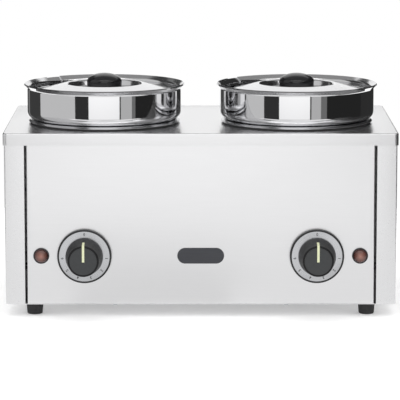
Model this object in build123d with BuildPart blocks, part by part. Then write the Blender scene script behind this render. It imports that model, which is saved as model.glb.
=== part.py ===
from build123d import *
import math
import os

os.makedirs("parts", exist_ok=True)

# Driving dimensions in millimetres and degrees

# Casing
CASE_WIDTH = 505.0
CASE_DEPTH = 300.0
CASE_HEIGHT = 221.9
SHEET = 0.8
PLATE_FLANGE = 15.6
PLATE_CORNER = 5.5
PLATE_BEND = 1.6
LAP_GAP = 0.8
RETURN_WIDTH = 25.4
BODY_CORNER = 4.0
PANEL_GAP = 2.8
PANEL_LIP = 12.0
PANEL_BEND = 1.5
BASE_INSET = 1.0
VENT_LENGTH = 34.0
VENT_WIDTH = 4.0
VENT_PITCH = 11.0
VENT_ROWS = 6
VENT_X = 95.0
VENT_HEIGHT = 150.0

# Feet
FOOT_HEIGHT = 16.0
FOOT_TOP_RADIUS = 11.2
FOOT_BOTTOM_RADIUS = 9.8
FOOT_EDGE = 1.6
FOOT_SIDE_INSET = 37.9
FOOT_INSET = 26.0
FOOT_SINK = 8.0

# Screws, washers and nuts
SCREW_RADIUS = 2.0
SCREW_HEAD_RADIUS = 3.6
SCREW_HEAD_HEIGHT = 2.2
NUT_FLATS = 7.0
NUT_HEIGHT = 3.2
THREAD_GAP = 0.1
HEAD_GAP = 0.5
SIDE_SCREW_INSET = 9.9
SIDE_SCREW_PITCH = 118.0
EDGE_SCREW_X = 110.0
BASE_SCREW_LENGTH = 6.0
BASE_SCREW_HEAD = 1.4
BASE_SCREW_HEAD_RADIUS = 3.0

# Wells
POT_PITCH = 252.5
POT_SETBACK = 118.0
WELL_RADIUS = 93.0
WELL_SHEET = 0.8
WELL_DEPTH = 126.0
WELL_CORNER = 10.0
RING_RADIUS = 99.5
RING_RISE = 5.6
RING_LIP_RISE = 2.2
RING_BEND = 1.2
HOLE_GAP = 0.4
SEAL_INSET = 2.2

# Pots
POT_SHEET = 0.8
POT_RISE = 51.0
POT_RIM_RADIUS = 105.5
POT_RADIUS = 101.2
POT_FLARE = 4.4
POT_FLARE_BEND = 4.0
POT_NECK_RADIUS = 91.5
POT_NECK_BEND = 2.0
POT_SHOULDER_BEND = 11.0
POT_SHOULDER_SLOPE = 20.0
POT_BASE_RADIUS = 86.0
POT_BASE_BEND = 12.0
WATER_DEPTH = 9.0
SEAT_GAP = 0.3

# Lids
LID_SHEET = 0.7
LID_RIM_RADIUS = 105.0
LID_WALL_GAP = 0.7
LID_GUTTER_DROP = 13.0
LID_GUTTER_BEND = 3.0
LID_RIDGE_RADIUS = 49.5
LID_RIDGE_RISE = 13.0
LID_RIDGE_BEND = 3.0
LID_DISH_RADIUS = 46.0
LID_DISH_DEPTH = 9.5
LID_DISH_BEND = 3.0
NOTCH_ANGLES = {"left": 133.5, "right": 143.5}
NOTCH_WIDTH = 23.0
NOTCH_DEPTH = 12.0

# Lid knobs
LID_KNOB_RADIUS = 23.0
LID_KNOB_BASE_RADIUS = 22.3
LID_KNOB_BAND = 12.0
LID_KNOB_DOME = 11.0
LID_KNOB_CORNER = 8.0
LID_SCREW_RADIUS = 2.5
LID_SCREW_HEAD_RADIUS = 4.6
LID_SCREW_LENGTH = 12.0
LID_WASHER_RADIUS = 6.5
LID_WASHER_HEIGHT = 1.2

# Dials
DIAL_INSET = 73.7
DIAL_DROP = 158.2
BEZEL_RADIUS = 34.75
BEZEL_DEPTH = 7.0
BEZEL_RIM = 2.2
BEZEL_EDGE = 1.0
SCALE_SINK = 0.3
SCALE_SHEET = 0.6
SCALE_BORE = 20.0
SCALE_GAP = 0.1
KNOB_REACH = 43.5
KNOB_BACK_GAP = 0.4
KNOB_RADIUS = 24.0
KNOB_SKIRT = 4.0
KNOB_FACE_RADIUS = 19.8
KNOB_EDGE = 1.6
KNOB_BORE_GAP = 0.05
FACE_GROOVE_RADIUS = 18.0
FACE_GROOVE_WIDTH = 1.2
FACE_GROOVE_DEPTH = 0.8
POINTER_WIDTH = 3.0
POINTER_DEPTH = 1.0
POINTER_PROUD = 0.3
POINTER_TAIL = 1.0
POINTER_SHARE = 0.47
POINTER_GAP = 0.05
SHAFT_RADIUS = 3.0
SHAFT_GAP = 0.05
SHAFT_FLAT = 1.0
SHAFT_IN_KNOB = 28.0
SHAFT_IN_BODY = 12.0
SHAFT_HOLE_RADIUS = 5.5

# Thermostats
THERMOSTAT_WIDTH = 44.0
THERMOSTAT_HEIGHT = 34.0
THERMOSTAT_DEPTH = 28.0
THERMOSTAT_SCREW_X = 14.0
THERMOSTAT_SCREW_LENGTH = 6.0
TAB_WIDTH = 6.3
TAB_LENGTH = 8.0
TAB_SHEET = 0.8
TAB_PITCH = 12.0

# Sensors
BULB_RADIUS = 3.0
BULB_LENGTH = 68.0
BULB_ANGLE = 10.0
BULB_HEIGHT = 30.0
CAPILLARY_RADIUS = 1.0
CAPILLARY_JOG = 14.0
CAPILLARY_BEND = 5.0
CLIP_SHEET = 0.8
CLIP_HEIGHT = 8.0
CLIP_GAP = 0.05

# Heaters
HEATER_RADIUS = 72.0
HEATER_THICKNESS = 4.0
ELEMENT_RADIUS = 54.0
ELEMENT_TUBE = 3.3
ELEMENT_GAP = 0.2
ELEMENT_OPEN_ANGLE = 30.0
ELEMENT_TAIL = 10.0
STRAP_LENGTH = 128.0
STRAP_WIDTH = 20.0
STRAP_SHEET = 2.0
STUD_RADIUS = 3.0
STUD_END = 2.0
STUD_NUT_FLATS = 10.0
STUD_NUT_HEIGHT = 5.0
CUTOUT_RADIUS = 8.0
CUTOUT_HEIGHT = 8.0
CUTOUT_Y = 30.0
CUTOUT_EAR = 12.5

# Lamps
LAMP_INSET = 18.3
LAMP_RIM_RADIUS = 10.2
LAMP_RIM_DEPTH = 2.4
LAMP_LENS_RADIUS = 8.9
LAMP_LENS_RISE = 5.0
LAMP_BARREL_RADIUS = 6.5
LAMP_LENGTH = 30.0
LAMP_HOLE_GAP = 0.2
LAMP_NUT_RADIUS = 9.5
LAMP_NUT_HEIGHT = 3.0

# Badge
BADGE_WIDTH = 60.0
BADGE_HEIGHT = 20.4
BADGE_SHEET = 1.2
BADGE_EDGE = 0.4

# Electrical supply
GLAND_INSET = 37.7
GLAND_Z = 52.0
GLAND_REACH = 22.0
GLAND_BORE = 4.5
GLAND_THREAD_RADIUS = 8.0
GLAND_THREAD_LENGTH = 9.0
GLAND_FLATS = 22.0
GLAND_HEX_DEPTH = 5.0
GLAND_DOME_RADIUS = 9.6
GLAND_EDGE = 2.0
LOCKNUT_HEIGHT = 4.0
BLOCK_INSET = 60.0
BLOCK_WIDTH = 44.0
BLOCK_DEPTH = 20.0
BLOCK_HEIGHT = 16.0
BLOCK_POLES = 4
BLOCK_CHANNEL = 2.5
EARTH_X = 95.0
EARTH_RADIUS = 2.5
EARTH_HEIGHT = 16.0
WIRE_RADIUS = 1.3
WIRE_BEND = 6.0
WIRE_LEAD = 14.0
WIRE_DROP = 22.0
WIRE_LOW = 24.0
WIRE_ENTRY = 30.0

# Levels and places that follow from the sizes above
SIDES = (("left", -1), ("right", 1))
base_bottom = FOOT_HEIGHT
base_top = base_bottom + SHEET
plate_top = base_bottom + CASE_HEIGHT
panel_top = plate_top - SHEET
body_half_x = CASE_WIDTH / 2 - SHEET - LAP_GAP
body_half_y = CASE_DEPTH / 2 - SHEET - LAP_GAP
panel_half_x = body_half_x - RETURN_WIDTH - PANEL_GAP
dial_x = panel_half_x - DIAL_INSET
lamp_x = panel_half_x - LAMP_INSET
gland_x = panel_half_x - GLAND_INSET
case_y = (KNOB_REACH - GLAND_REACH) / 2
front_y = case_y - body_half_y
back_y = case_y + body_half_y
pot_y = case_y - CASE_DEPTH / 2 + POT_SETBACK
dial_z = plate_top - DIAL_DROP
pot_places = [(side * POT_PITCH / 2, pot_y) for name, side in SIDES]
foot_x = CASE_WIDTH / 2 - FOOT_SIDE_INSET
foot_rows = (case_y - CASE_DEPTH / 2 + FOOT_INSET, case_y + CASE_DEPTH / 2 - FOOT_INSET)
foot_places = [(side * foot_x, y) for y in foot_rows for name, side in SIDES]
side_screw_x = body_half_x - SIDE_SCREW_INSET
side_screws = [(side * side_screw_x, case_y + step * SIDE_SCREW_PITCH)
               for step in (-1, 0, 1) for name, side in SIDES]
edge_screws = [(side * EDGE_SCREW_X, y) for name, side in SIDES
               for y in (front_y + PANEL_LIP / 2, back_y - PANEL_LIP / 2)]


def keep(part, name):
    """Label a finished piece and write it as its own file."""
    part.label = name
    export_step(part, f"parts/{name}.step")


def upright(x, y):
    """Vertical plane through a point, its own x along X and its y along Z."""
    return Plane(origin=(x, y, 0), x_dir=(1, 0, 0), z_dir=(0, -1, 0))


def facing(forward=0.0):
    """Front view plane, standing off the front panel's face towards the user."""
    return Plane(origin=(0, front_y - forward, 0), x_dir=(1, 0, 0), z_dir=(0, -1, 0))


def turned(x, z):
    """Plane for dial profiles: its own x is the radius, its y is forward."""
    return Plane(origin=(x, front_y, z), x_dir=(1, 0, 0), z_dir=(0, 0, -1))


def dial_axis(x, z):
    """Line that a dial or a lamp is turned about, pointing forward."""
    return Axis((x, front_y, z), (0, -1, 0))


def spin(x, y):
    """Vertical line that a round piece is turned about."""
    return Axis((x, y, 0), (0, 0, 1))


def punch(places, radius, bottom, top):
    """Cut round holes down through what stands between two levels."""
    with BuildSketch(Plane.XY.offset(bottom)) as holes:
        with Locations(*places):
            Circle(radius)
    extrude(holes.sketch, amount=top - bottom, mode=Mode.SUBTRACT)


def pillars(places, radius, bottom, top):
    """Add round bars between two levels."""
    with BuildSketch(Plane.XY.offset(bottom)) as bars:
        with Locations(*places):
            Circle(radius)
    extrude(bars.sketch, amount=top - bottom)


def hexagons(places, flats, bottom, top):
    """Add hexagonal bars between two levels, sized across their flats."""
    with BuildSketch(Plane.XY.offset(bottom)) as bars:
        with Locations(*places):
            RegularPolygon(flats / 2, 6, major_radius=False)
    extrude(bars.sketch, amount=top - bottom)


def wire(*points):
    """Run one insulated wire through its points, with a round bend at each."""
    with BuildLine() as route:
        FilletPolyline(*points, radius=WIRE_BEND)
    with BuildSketch(Plane(origin=route.line @ 0, z_dir=route.line % 0)) as section:
        Circle(WIRE_RADIUS)
    sweep(section.sketch, path=route.line)


def right_half(reach):
    """Cut away what a turned profile has on the far side of its axis."""
    with Locations((-reach, 0)):
        Rectangle(2 * reach, 4 * reach, mode=Mode.SUBTRACT)


# Top plate: a tray turned down at its edges, with two round holes
plate_hole_radius = WELL_RADIUS + WELL_SHEET + HOLE_GAP
with BuildPart() as top_plate:
    with BuildSketch(Plane.XY.offset(plate_top - PLATE_FLANGE)):
        with Locations((0, case_y)):
            RectangleRounded(CASE_WIDTH, CASE_DEPTH, PLATE_CORNER)
    extrude(amount=PLATE_FLANGE)
    fillet(top_plate.faces().sort_by(Axis.Z)[-1].edges(), radius=PLATE_BEND)
    offset(amount=-SHEET, openings=top_plate.faces().sort_by(Axis.Z)[0])
    punch(pot_places, plate_hole_radius, plate_top - 2 * SHEET, plate_top + SHEET)
keep(top_plate.part, "top_plate")

# Side panels: trays that open inwards and return round the corners
for name, side in SIDES:
    with BuildPart() as side_panel:
        with BuildSketch(Plane.XY.offset(base_top)):
            with Locations((side * (body_half_x - RETURN_WIDTH / 2), case_y)):
                Rectangle(RETURN_WIDTH, 2 * body_half_y)
        extrude(amount=panel_top - base_top)
        outward = Axis((0, 0, 0), (side, 0, 0))
        fillet(side_panel.edges().filter_by(Axis.Z).group_by(outward)[-1], radius=BODY_CORNER)
        offset(amount=-SHEET, openings=side_panel.faces().sort_by(outward)[0])
        own_screws = [place for place in side_screws if place[0] * side > 0]
        punch(own_screws, SCREW_RADIUS + THREAD_GAP, base_top - SHEET, base_top + 2 * SHEET)
    keep(side_panel.part, f"{name}_side_panel")

# Front panel: a tray that opens backwards, with holes for dials and lamps
with BuildPart() as front_panel:
    with BuildSketch(facing(-PANEL_LIP)):
        with Locations((0, (base_top + panel_top) / 2)):
            Rectangle(2 * panel_half_x, panel_top - base_top)
    extrude(amount=PANEL_LIP)
    fillet(front_panel.faces().sort_by(Axis.Y)[0].edges(), radius=PANEL_BEND)
    offset(amount=-SHEET, openings=front_panel.faces().sort_by(Axis.Y)[-1])
    with BuildSketch(facing(SHEET)):
        for name, side in SIDES:
            with Locations((side * dial_x, dial_z)):
                Circle(SHAFT_HOLE_RADIUS)
                with GridLocations(2 * THERMOSTAT_SCREW_X, 0, 2, 1):
                    Circle(SCREW_RADIUS + THREAD_GAP)
            with Locations((side * lamp_x, dial_z)):
                Circle(LAMP_BARREL_RADIUS + LAMP_HOLE_GAP)
    extrude(amount=-3 * SHEET, mode=Mode.SUBTRACT)
    front_screws = [place for place in edge_screws if place[1] < case_y]
    punch(front_screws, SCREW_RADIUS + THREAD_GAP, base_top - SHEET, base_top + 2 * SHEET)
keep(front_panel.part, "front_panel")

# Back panel: the same tray opening forwards, with vents and the cable hole
with BuildPart() as back_panel:
    with BuildSketch(facing(-2 * body_half_y)):
        with Locations((0, (base_top + panel_top) / 2)):
            Rectangle(2 * panel_half_x, panel_top - base_top)
    extrude(amount=PANEL_LIP)
    fillet(back_panel.faces().sort_by(Axis.Y)[-1].edges(), radius=PANEL_BEND)
    offset(amount=-SHEET, openings=back_panel.faces().sort_by(Axis.Y)[0])
    with BuildSketch(facing(-2 * body_half_y - SHEET)):
        with Locations((gland_x, GLAND_Z)):
            Circle(GLAND_THREAD_RADIUS + THREAD_GAP)
        for name, side in SIDES:
            with Locations((side * VENT_X, VENT_HEIGHT)):
                with GridLocations(0, VENT_PITCH, 1, VENT_ROWS):
                    SlotOverall(VENT_LENGTH, VENT_WIDTH)
    extrude(amount=3 * SHEET, mode=Mode.SUBTRACT)
    back_screws = [place for place in edge_screws if place[1] > case_y]
    punch(back_screws, SCREW_RADIUS + THREAD_GAP, base_top - SHEET, base_top + 2 * SHEET)
keep(back_panel.part, "back_panel")

# Base plate under the panels' bottom flanges
with BuildPart() as base_plate:
    with BuildSketch(Plane.XY.offset(base_bottom)):
        with Locations((0, case_y)):
            RectangleRounded(2 * (body_half_x - BASE_INSET), 2 * (body_half_y - BASE_INSET),
                             BODY_CORNER)
        with Locations(*pot_places):
            with GridLocations(0, VENT_PITCH, 1, VENT_ROWS):
                SlotOverall(VENT_LENGTH, VENT_WIDTH, mode=Mode.SUBTRACT)
    extrude(amount=SHEET)
    punch(side_screws + edge_screws + foot_places, SCREW_RADIUS + THREAD_GAP,
          base_bottom - SHEET, base_top + SHEET)
keep(base_plate.part, "base_plate")

# Base screws: pan heads below the base plate, threaded up into the flanges
with BuildPart() as base_screws:
    screw_places = side_screws + edge_screws
    pillars(screw_places, BASE_SCREW_HEAD_RADIUS, base_bottom - BASE_SCREW_HEAD, base_bottom)
    heads = base_screws.faces().sort_by(Axis.Z).group_by(Axis.Z)[0]
    fillet(heads.edges(), radius=BASE_SCREW_HEAD / 2)
    pillars(screw_places, SCREW_RADIUS, base_bottom, base_bottom + BASE_SCREW_LENGTH)
keep(base_screws.part, "base_screws")

# Feet: tapered rubber, sunk for their screws
foot_names = ("front_left_foot", "front_right_foot", "back_left_foot", "back_right_foot")
for foot_name, (x, y) in zip(foot_names, foot_places):
    with BuildPart() as foot:
        with BuildSketch(upright(x, y)):
            Polygon((0, 0), (FOOT_BOTTOM_RADIUS, 0), (FOOT_TOP_RADIUS, FOOT_HEIGHT),
                    (0, FOOT_HEIGHT), align=None)
        revolve(axis=spin(x, y))
        fillet(foot.edges().sort_by(Axis.Z)[0], radius=FOOT_EDGE)
        punch([(x, y)], SCREW_HEAD_RADIUS + HEAD_GAP, 0, FOOT_SINK)
        punch([(x, y)], SCREW_RADIUS + THREAD_GAP, FOOT_SINK, FOOT_HEIGHT)
    keep(foot.part, foot_name)

nut_top = base_top + NUT_HEIGHT
with BuildPart() as foot_screws:
    pillars(foot_places, SCREW_HEAD_RADIUS, FOOT_SINK - SCREW_HEAD_HEIGHT, FOOT_SINK)
    pillars(foot_places, SCREW_RADIUS, FOOT_SINK, nut_top + SCREW_RADIUS)
keep(foot_screws.part, "foot_screws")

with BuildPart() as foot_nuts:
    hexagons(foot_places, NUT_FLATS, base_top, nut_top)
    punch(foot_places, SCREW_RADIUS + THREAD_GAP, base_top, nut_top)
keep(foot_nuts.part, "foot_nuts")

# Well levels: the flange rises over the plate and the stud hangs below
well_mid_radius = WELL_RADIUS + WELL_SHEET / 2
ring_centre_radius = well_mid_radius + RING_BEND
ring_centre_z = plate_top + RING_RISE - WELL_SHEET / 2 - RING_BEND
ring_tip = (RING_RADIUS - WELL_SHEET / 2, plate_top + RING_LIP_RISE + WELL_SHEET / 2)
RING_TURN = 106.0
well_floor_mid = plate_top - WELL_DEPTH + WELL_SHEET / 2
well_bottom = well_floor_mid - WELL_SHEET / 2
heater_bottom = well_bottom - HEATER_THICKNESS
element_z = heater_bottom - ELEMENT_GAP - ELEMENT_TUBE
strap_top = element_z - ELEMENT_TUBE - ELEMENT_GAP
strap_bottom = strap_top - STRAP_SHEET
stud_bottom = strap_bottom - STUD_NUT_HEIGHT - STUD_END
seal_inner = plate_hole_radius
seal_outer = RING_RADIUS - SEAL_INSET

# Pot levels: the shoulder's slope comes down on the ring's crown
slope = math.radians(POT_SHOULDER_SLOPE)
pot_half = POT_SHEET / 2
pot_wall_mid = POT_RADIUS - pot_half
pot_neck_mid = POT_NECK_RADIUS - pot_half
pot_base_mid = POT_BASE_RADIUS - pot_half
seat_reach = RING_BEND + WELL_SHEET / 2 + SEAT_GAP + pot_half
pot_neck_z = (ring_centre_z + seat_reach / math.cos(slope)
              - (ring_centre_radius - pot_neck_mid) * math.tan(slope))
pot_shoulder_z = pot_neck_z + (pot_wall_mid - pot_neck_mid) * math.tan(slope)
pot_rim_z = plate_top + POT_RISE - pot_half
pot_rim_mid = POT_RIM_RADIUS - pot_half
pot_flare_z = pot_rim_z - POT_FLARE
pot_floor_mid = well_floor_mid + WELL_SHEET / 2 + WATER_DEPTH + pot_half

# Lid levels: the rim nests in the pot's flare, the skirt hangs in its wall
lid_half = LID_SHEET / 2
lid_skirt_mid = POT_RADIUS - POT_SHEET - LID_WALL_GAP - lid_half
flare_angle = math.atan2(POT_FLARE, pot_rim_mid - pot_wall_mid)
nest_reach = pot_half + SEAT_GAP + lid_half
lid_flare_z = pot_flare_z + (nest_reach - (pot_wall_mid - lid_skirt_mid)
                             * math.sin(flare_angle)) / math.cos(flare_angle)
lid_rim_mid = LID_RIM_RADIUS - lid_half
lid_rim_z = lid_flare_z + (lid_rim_mid - lid_skirt_mid) * math.tan(flare_angle)
lid_gutter_z = plate_top + POT_RISE - LID_GUTTER_DROP
lid_ridge_z = lid_gutter_z + LID_RIDGE_RISE
lid_dish_z = lid_ridge_z - LID_DISH_DEPTH
lid_knob_bottom = lid_dish_z + lid_half
lid_screw_top = lid_knob_bottom + LID_SCREW_LENGTH
lid_washer_bottom = lid_dish_z - lid_half - LID_WASHER_HEIGHT

for name, side in SIDES:
    x = side * POT_PITCH / 2

    # Water well: deep drawn, with a convex flange and the heater's stud
    with BuildPart() as water_well:
        with BuildSketch(upright(x, pot_y)):
            with BuildLine():
                wall = FilletPolyline((0, well_floor_mid), (well_mid_radius, well_floor_mid),
                                      (well_mid_radius, ring_centre_z), radius=WELL_CORNER)
                crown = JernArc(wall @ 1, (0, 1), RING_BEND, -RING_TURN)
                TangentArc(crown @ 1, ring_tip, tangent=crown % 1)
                offset(amount=WELL_SHEET / 2, side=Side.BOTH, mode=Mode.REPLACE)
            make_face()
            right_half(CASE_HEIGHT)
        revolve(axis=spin(x, pot_y))
        pillars([(x, pot_y)], STUD_RADIUS, stud_bottom, well_bottom)
    keep(water_well.part, f"water_well_{name}")

    # Seal between the top plate and the well's flange
    with BuildPart() as well_seal:
        with BuildSketch(upright(x, pot_y)):
            with BuildLine():
                Polyline((seal_inner, plate_top), (seal_outer, plate_top),
                         (seal_outer, plate_top + RING_LIP_RISE),
                         (seal_inner, plate_top + RING_LIP_RISE), close=True)
            make_face()
        revolve(axis=spin(x, pot_y))
    keep(well_seal.part, f"well_seal_{name}")

    # Heater plate, tubular element, clamp strap and nut, stacked on the stud
    with BuildPart() as heater_plate:
        pillars([(x, pot_y)], HEATER_RADIUS, heater_bottom, well_bottom)
        punch([(x, pot_y)], STUD_RADIUS + THREAD_GAP, heater_bottom, well_bottom)
    keep(heater_plate.part, f"heater_plate_{name}")

    open_half = ELEMENT_OPEN_ANGLE / 2
    element_ends = []
    for angle in (-90 - open_half, -90 + open_half):
        element_ends.append((x + ELEMENT_RADIUS * math.cos(math.radians(angle)),
                             pot_y + ELEMENT_RADIUS * math.sin(math.radians(angle))))
    with BuildPart() as element:
        with BuildSketch(upright(x, pot_y)):
            with Locations((ELEMENT_RADIUS, element_z)):
                Circle(ELEMENT_TUBE)
        revolve(axis=spin(x, pot_y), revolution_arc=360 - ELEMENT_OPEN_ANGLE)
    turned_element = element.part.rotate(spin(x, pot_y), -90 + open_half)
    with BuildPart() as heater_element:
        add(turned_element)
        for end_x, end_y in element_ends:
            with Locations((end_x, end_y, element_z)):
                Sphere(ELEMENT_TUBE)
            pillars([(end_x, end_y)], ELEMENT_TUBE, element_z - ELEMENT_TAIL, element_z)
    keep(heater_element.part, f"heater_element_{name}")

    # Dry-boil cutout on the heater plate's underside
    cutout_y = pot_y + CUTOUT_Y
    cutout_bottom = heater_bottom - CUTOUT_HEIGHT
    with BuildPart() as cutout:
        pillars([(x, cutout_y)], CUTOUT_RADIUS, cutout_bottom, heater_bottom)
        with BuildSketch(Plane.XY.offset(heater_bottom - TAB_SHEET)):
            with Locations((x, cutout_y)):
                SlotOverall(2 * CUTOUT_EAR, CUTOUT_RADIUS)
        extrude(amount=TAB_SHEET)
        with BuildSketch(Plane.XY.offset(cutout_bottom - TAB_LENGTH)):
            with Locations((x, cutout_y)):
                with GridLocations(CUTOUT_RADIUS, 0, 2, 1):
                    Rectangle(TAB_SHEET, TAB_WIDTH)
        extrude(amount=TAB_LENGTH)
    keep(cutout.part, f"dry_boil_cutout_{name}")

    # Pot: one drawn wall with a flared rim, a shoulder and a tapered body
    with BuildPart() as pot:
        with BuildSketch(upright(x, pot_y)):
            with BuildLine():
                FilletPolyline((pot_rim_mid, pot_rim_z), (pot_wall_mid, pot_flare_z),
                               (pot_wall_mid, pot_shoulder_z), (pot_neck_mid, pot_neck_z),
                               (pot_base_mid, pot_floor_mid), (0, pot_floor_mid),
                               radius=[POT_FLARE_BEND, POT_SHOULDER_BEND - pot_half,
                                       POT_NECK_BEND + pot_half, POT_BASE_BEND - pot_half])
                offset(amount=pot_half, side=Side.BOTH, mode=Mode.REPLACE)
            make_face()
            right_half(CASE_HEIGHT)
        revolve(axis=spin(x, pot_y))
    keep(pot.part, f"pot_{name}")

    # Lid: nested rim, skirt, gutter, dome, ridge and dish, with a ladle notch
    with BuildPart() as lid:
        with BuildSketch(upright(x, pot_y)):
            with BuildLine():
                FilletPolyline((lid_rim_mid, lid_rim_z), (lid_skirt_mid, lid_flare_z),
                               (lid_skirt_mid, lid_gutter_z), (LID_RIDGE_RADIUS, lid_ridge_z),
                               (LID_DISH_RADIUS, lid_dish_z), (0, lid_dish_z),
                               radius=[POT_FLARE_BEND + nest_reach, LID_GUTTER_BEND,
                                       LID_RIDGE_BEND, LID_DISH_BEND])
                offset(amount=lid_half, side=Side.BOTH, mode=Mode.REPLACE)
            make_face()
            right_half(CASE_HEIGHT)
        revolve(axis=spin(x, pot_y))
        punch([(x, pot_y)], LID_SCREW_RADIUS + THREAD_GAP, lid_dish_z - LID_SHEET,
              lid_dish_z + LID_SHEET)
        notch_centre = lid_skirt_mid + lid_half - NOTCH_DEPTH + NOTCH_WIDTH / 2
        notch_turn = (0, 0, NOTCH_ANGLES[name])
        notch_plane = Plane.XY.offset(lid_gutter_z - NOTCH_DEPTH).rotated(notch_turn)
        notch_plane.origin = (x, pot_y, lid_gutter_z - NOTCH_DEPTH)
        with BuildSketch(notch_plane):
            with Locations((notch_centre, 0)):
                Circle(NOTCH_WIDTH / 2)
                Rectangle(NOTCH_WIDTH * 2, NOTCH_WIDTH, align=(Align.MIN, Align.CENTER))
        extrude(amount=2 * NOTCH_DEPTH + LID_GUTTER_DROP, mode=Mode.SUBTRACT)
    keep(lid.part, f"lid_{name}")

    # Lid knob: a slightly tapered band under an oval dome of two arcs
    band_top = lid_knob_bottom + LID_KNOB_BAND
    corner_x = LID_KNOB_RADIUS - LID_KNOB_CORNER
    crown_radius = ((corner_x ** 2 + LID_KNOB_DOME ** 2 - LID_KNOB_CORNER ** 2)
                    / (2 * (LID_KNOB_DOME - LID_KNOB_CORNER)))
    crown_share = crown_radius / (crown_radius - LID_KNOB_CORNER)
    crown_end = (corner_x * crown_share, band_top + LID_KNOB_DOME - crown_radius
                 + (crown_radius - LID_KNOB_DOME) * crown_share)
    with BuildPart() as lid_knob:
        with BuildSketch(upright(x, pot_y)):
            with BuildLine():
                Polyline((LID_KNOB_RADIUS, band_top), (LID_KNOB_BASE_RADIUS, lid_knob_bottom),
                         (0, lid_knob_bottom), (0, band_top + LID_KNOB_DOME))
                crown = TangentArc((0, band_top + LID_KNOB_DOME), crown_end, tangent=(1, 0))
                TangentArc(crown @ 1, (LID_KNOB_RADIUS, band_top), tangent=crown % 1)
            make_face()
        revolve(axis=spin(x, pot_y))
        punch([(x, pot_y)], LID_SCREW_RADIUS + THREAD_GAP, lid_knob_bottom,
              lid_screw_top + THREAD_GAP)
    keep(lid_knob.part, f"lid_knob_{name}")

    # Washer-head screw that holds the knob from under the lid's dish
    with BuildPart() as lid_screw:
        pillars([(x, pot_y)], LID_SCREW_HEAD_RADIUS, lid_washer_bottom - SCREW_HEAD_HEIGHT,
                lid_washer_bottom)
        pillars([(x, pot_y)], LID_WASHER_RADIUS, lid_washer_bottom, lid_dish_z - lid_half)
        pillars([(x, pot_y)], LID_SCREW_RADIUS, lid_washer_bottom, lid_screw_top)
    keep(lid_screw.part, f"lid_screw_{name}")

with BuildPart() as heater_straps:
    with BuildSketch(Plane.XY.offset(strap_bottom)):
        with Locations(*pot_places):
            SlotOverall(STRAP_LENGTH, STRAP_WIDTH)
            Circle(STUD_RADIUS + THREAD_GAP, mode=Mode.SUBTRACT)
    extrude(amount=STRAP_SHEET)
keep(heater_straps.part, "heater_straps")

with BuildPart() as heater_nuts:
    hexagons(pot_places, STUD_NUT_FLATS, strap_bottom - STUD_NUT_HEIGHT, strap_bottom)
    punch(pot_places, STUD_RADIUS + THREAD_GAP, strap_bottom - STUD_NUT_HEIGHT, strap_bottom)
keep(heater_nuts.part, "heater_nuts")

# Dial levels, measured forward from the front panel's face
scale_front = BEZEL_DEPTH - SCALE_SINK
scale_back = scale_front - SCALE_SHEET
scale_radius = BEZEL_RADIUS - BEZEL_RIM
knob_back = BEZEL_DEPTH + KNOB_BACK_GAP
knob_face = KNOB_REACH - POINTER_PROUD
shaft_front = knob_back + SHAFT_IN_KNOB
body_front = -SHEET
body_back = body_front - THERMOSTAT_DEPTH
shaft_back = body_front - SHAFT_IN_BODY
screw_seat = scale_back - SCREW_HEAD_HEIGHT - SCALE_GAP
thermostat_top = dial_z + THERMOSTAT_HEIGHT / 2
bulb_bottom = thermostat_top + BULB_HEIGHT
bulb_places = []

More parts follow.
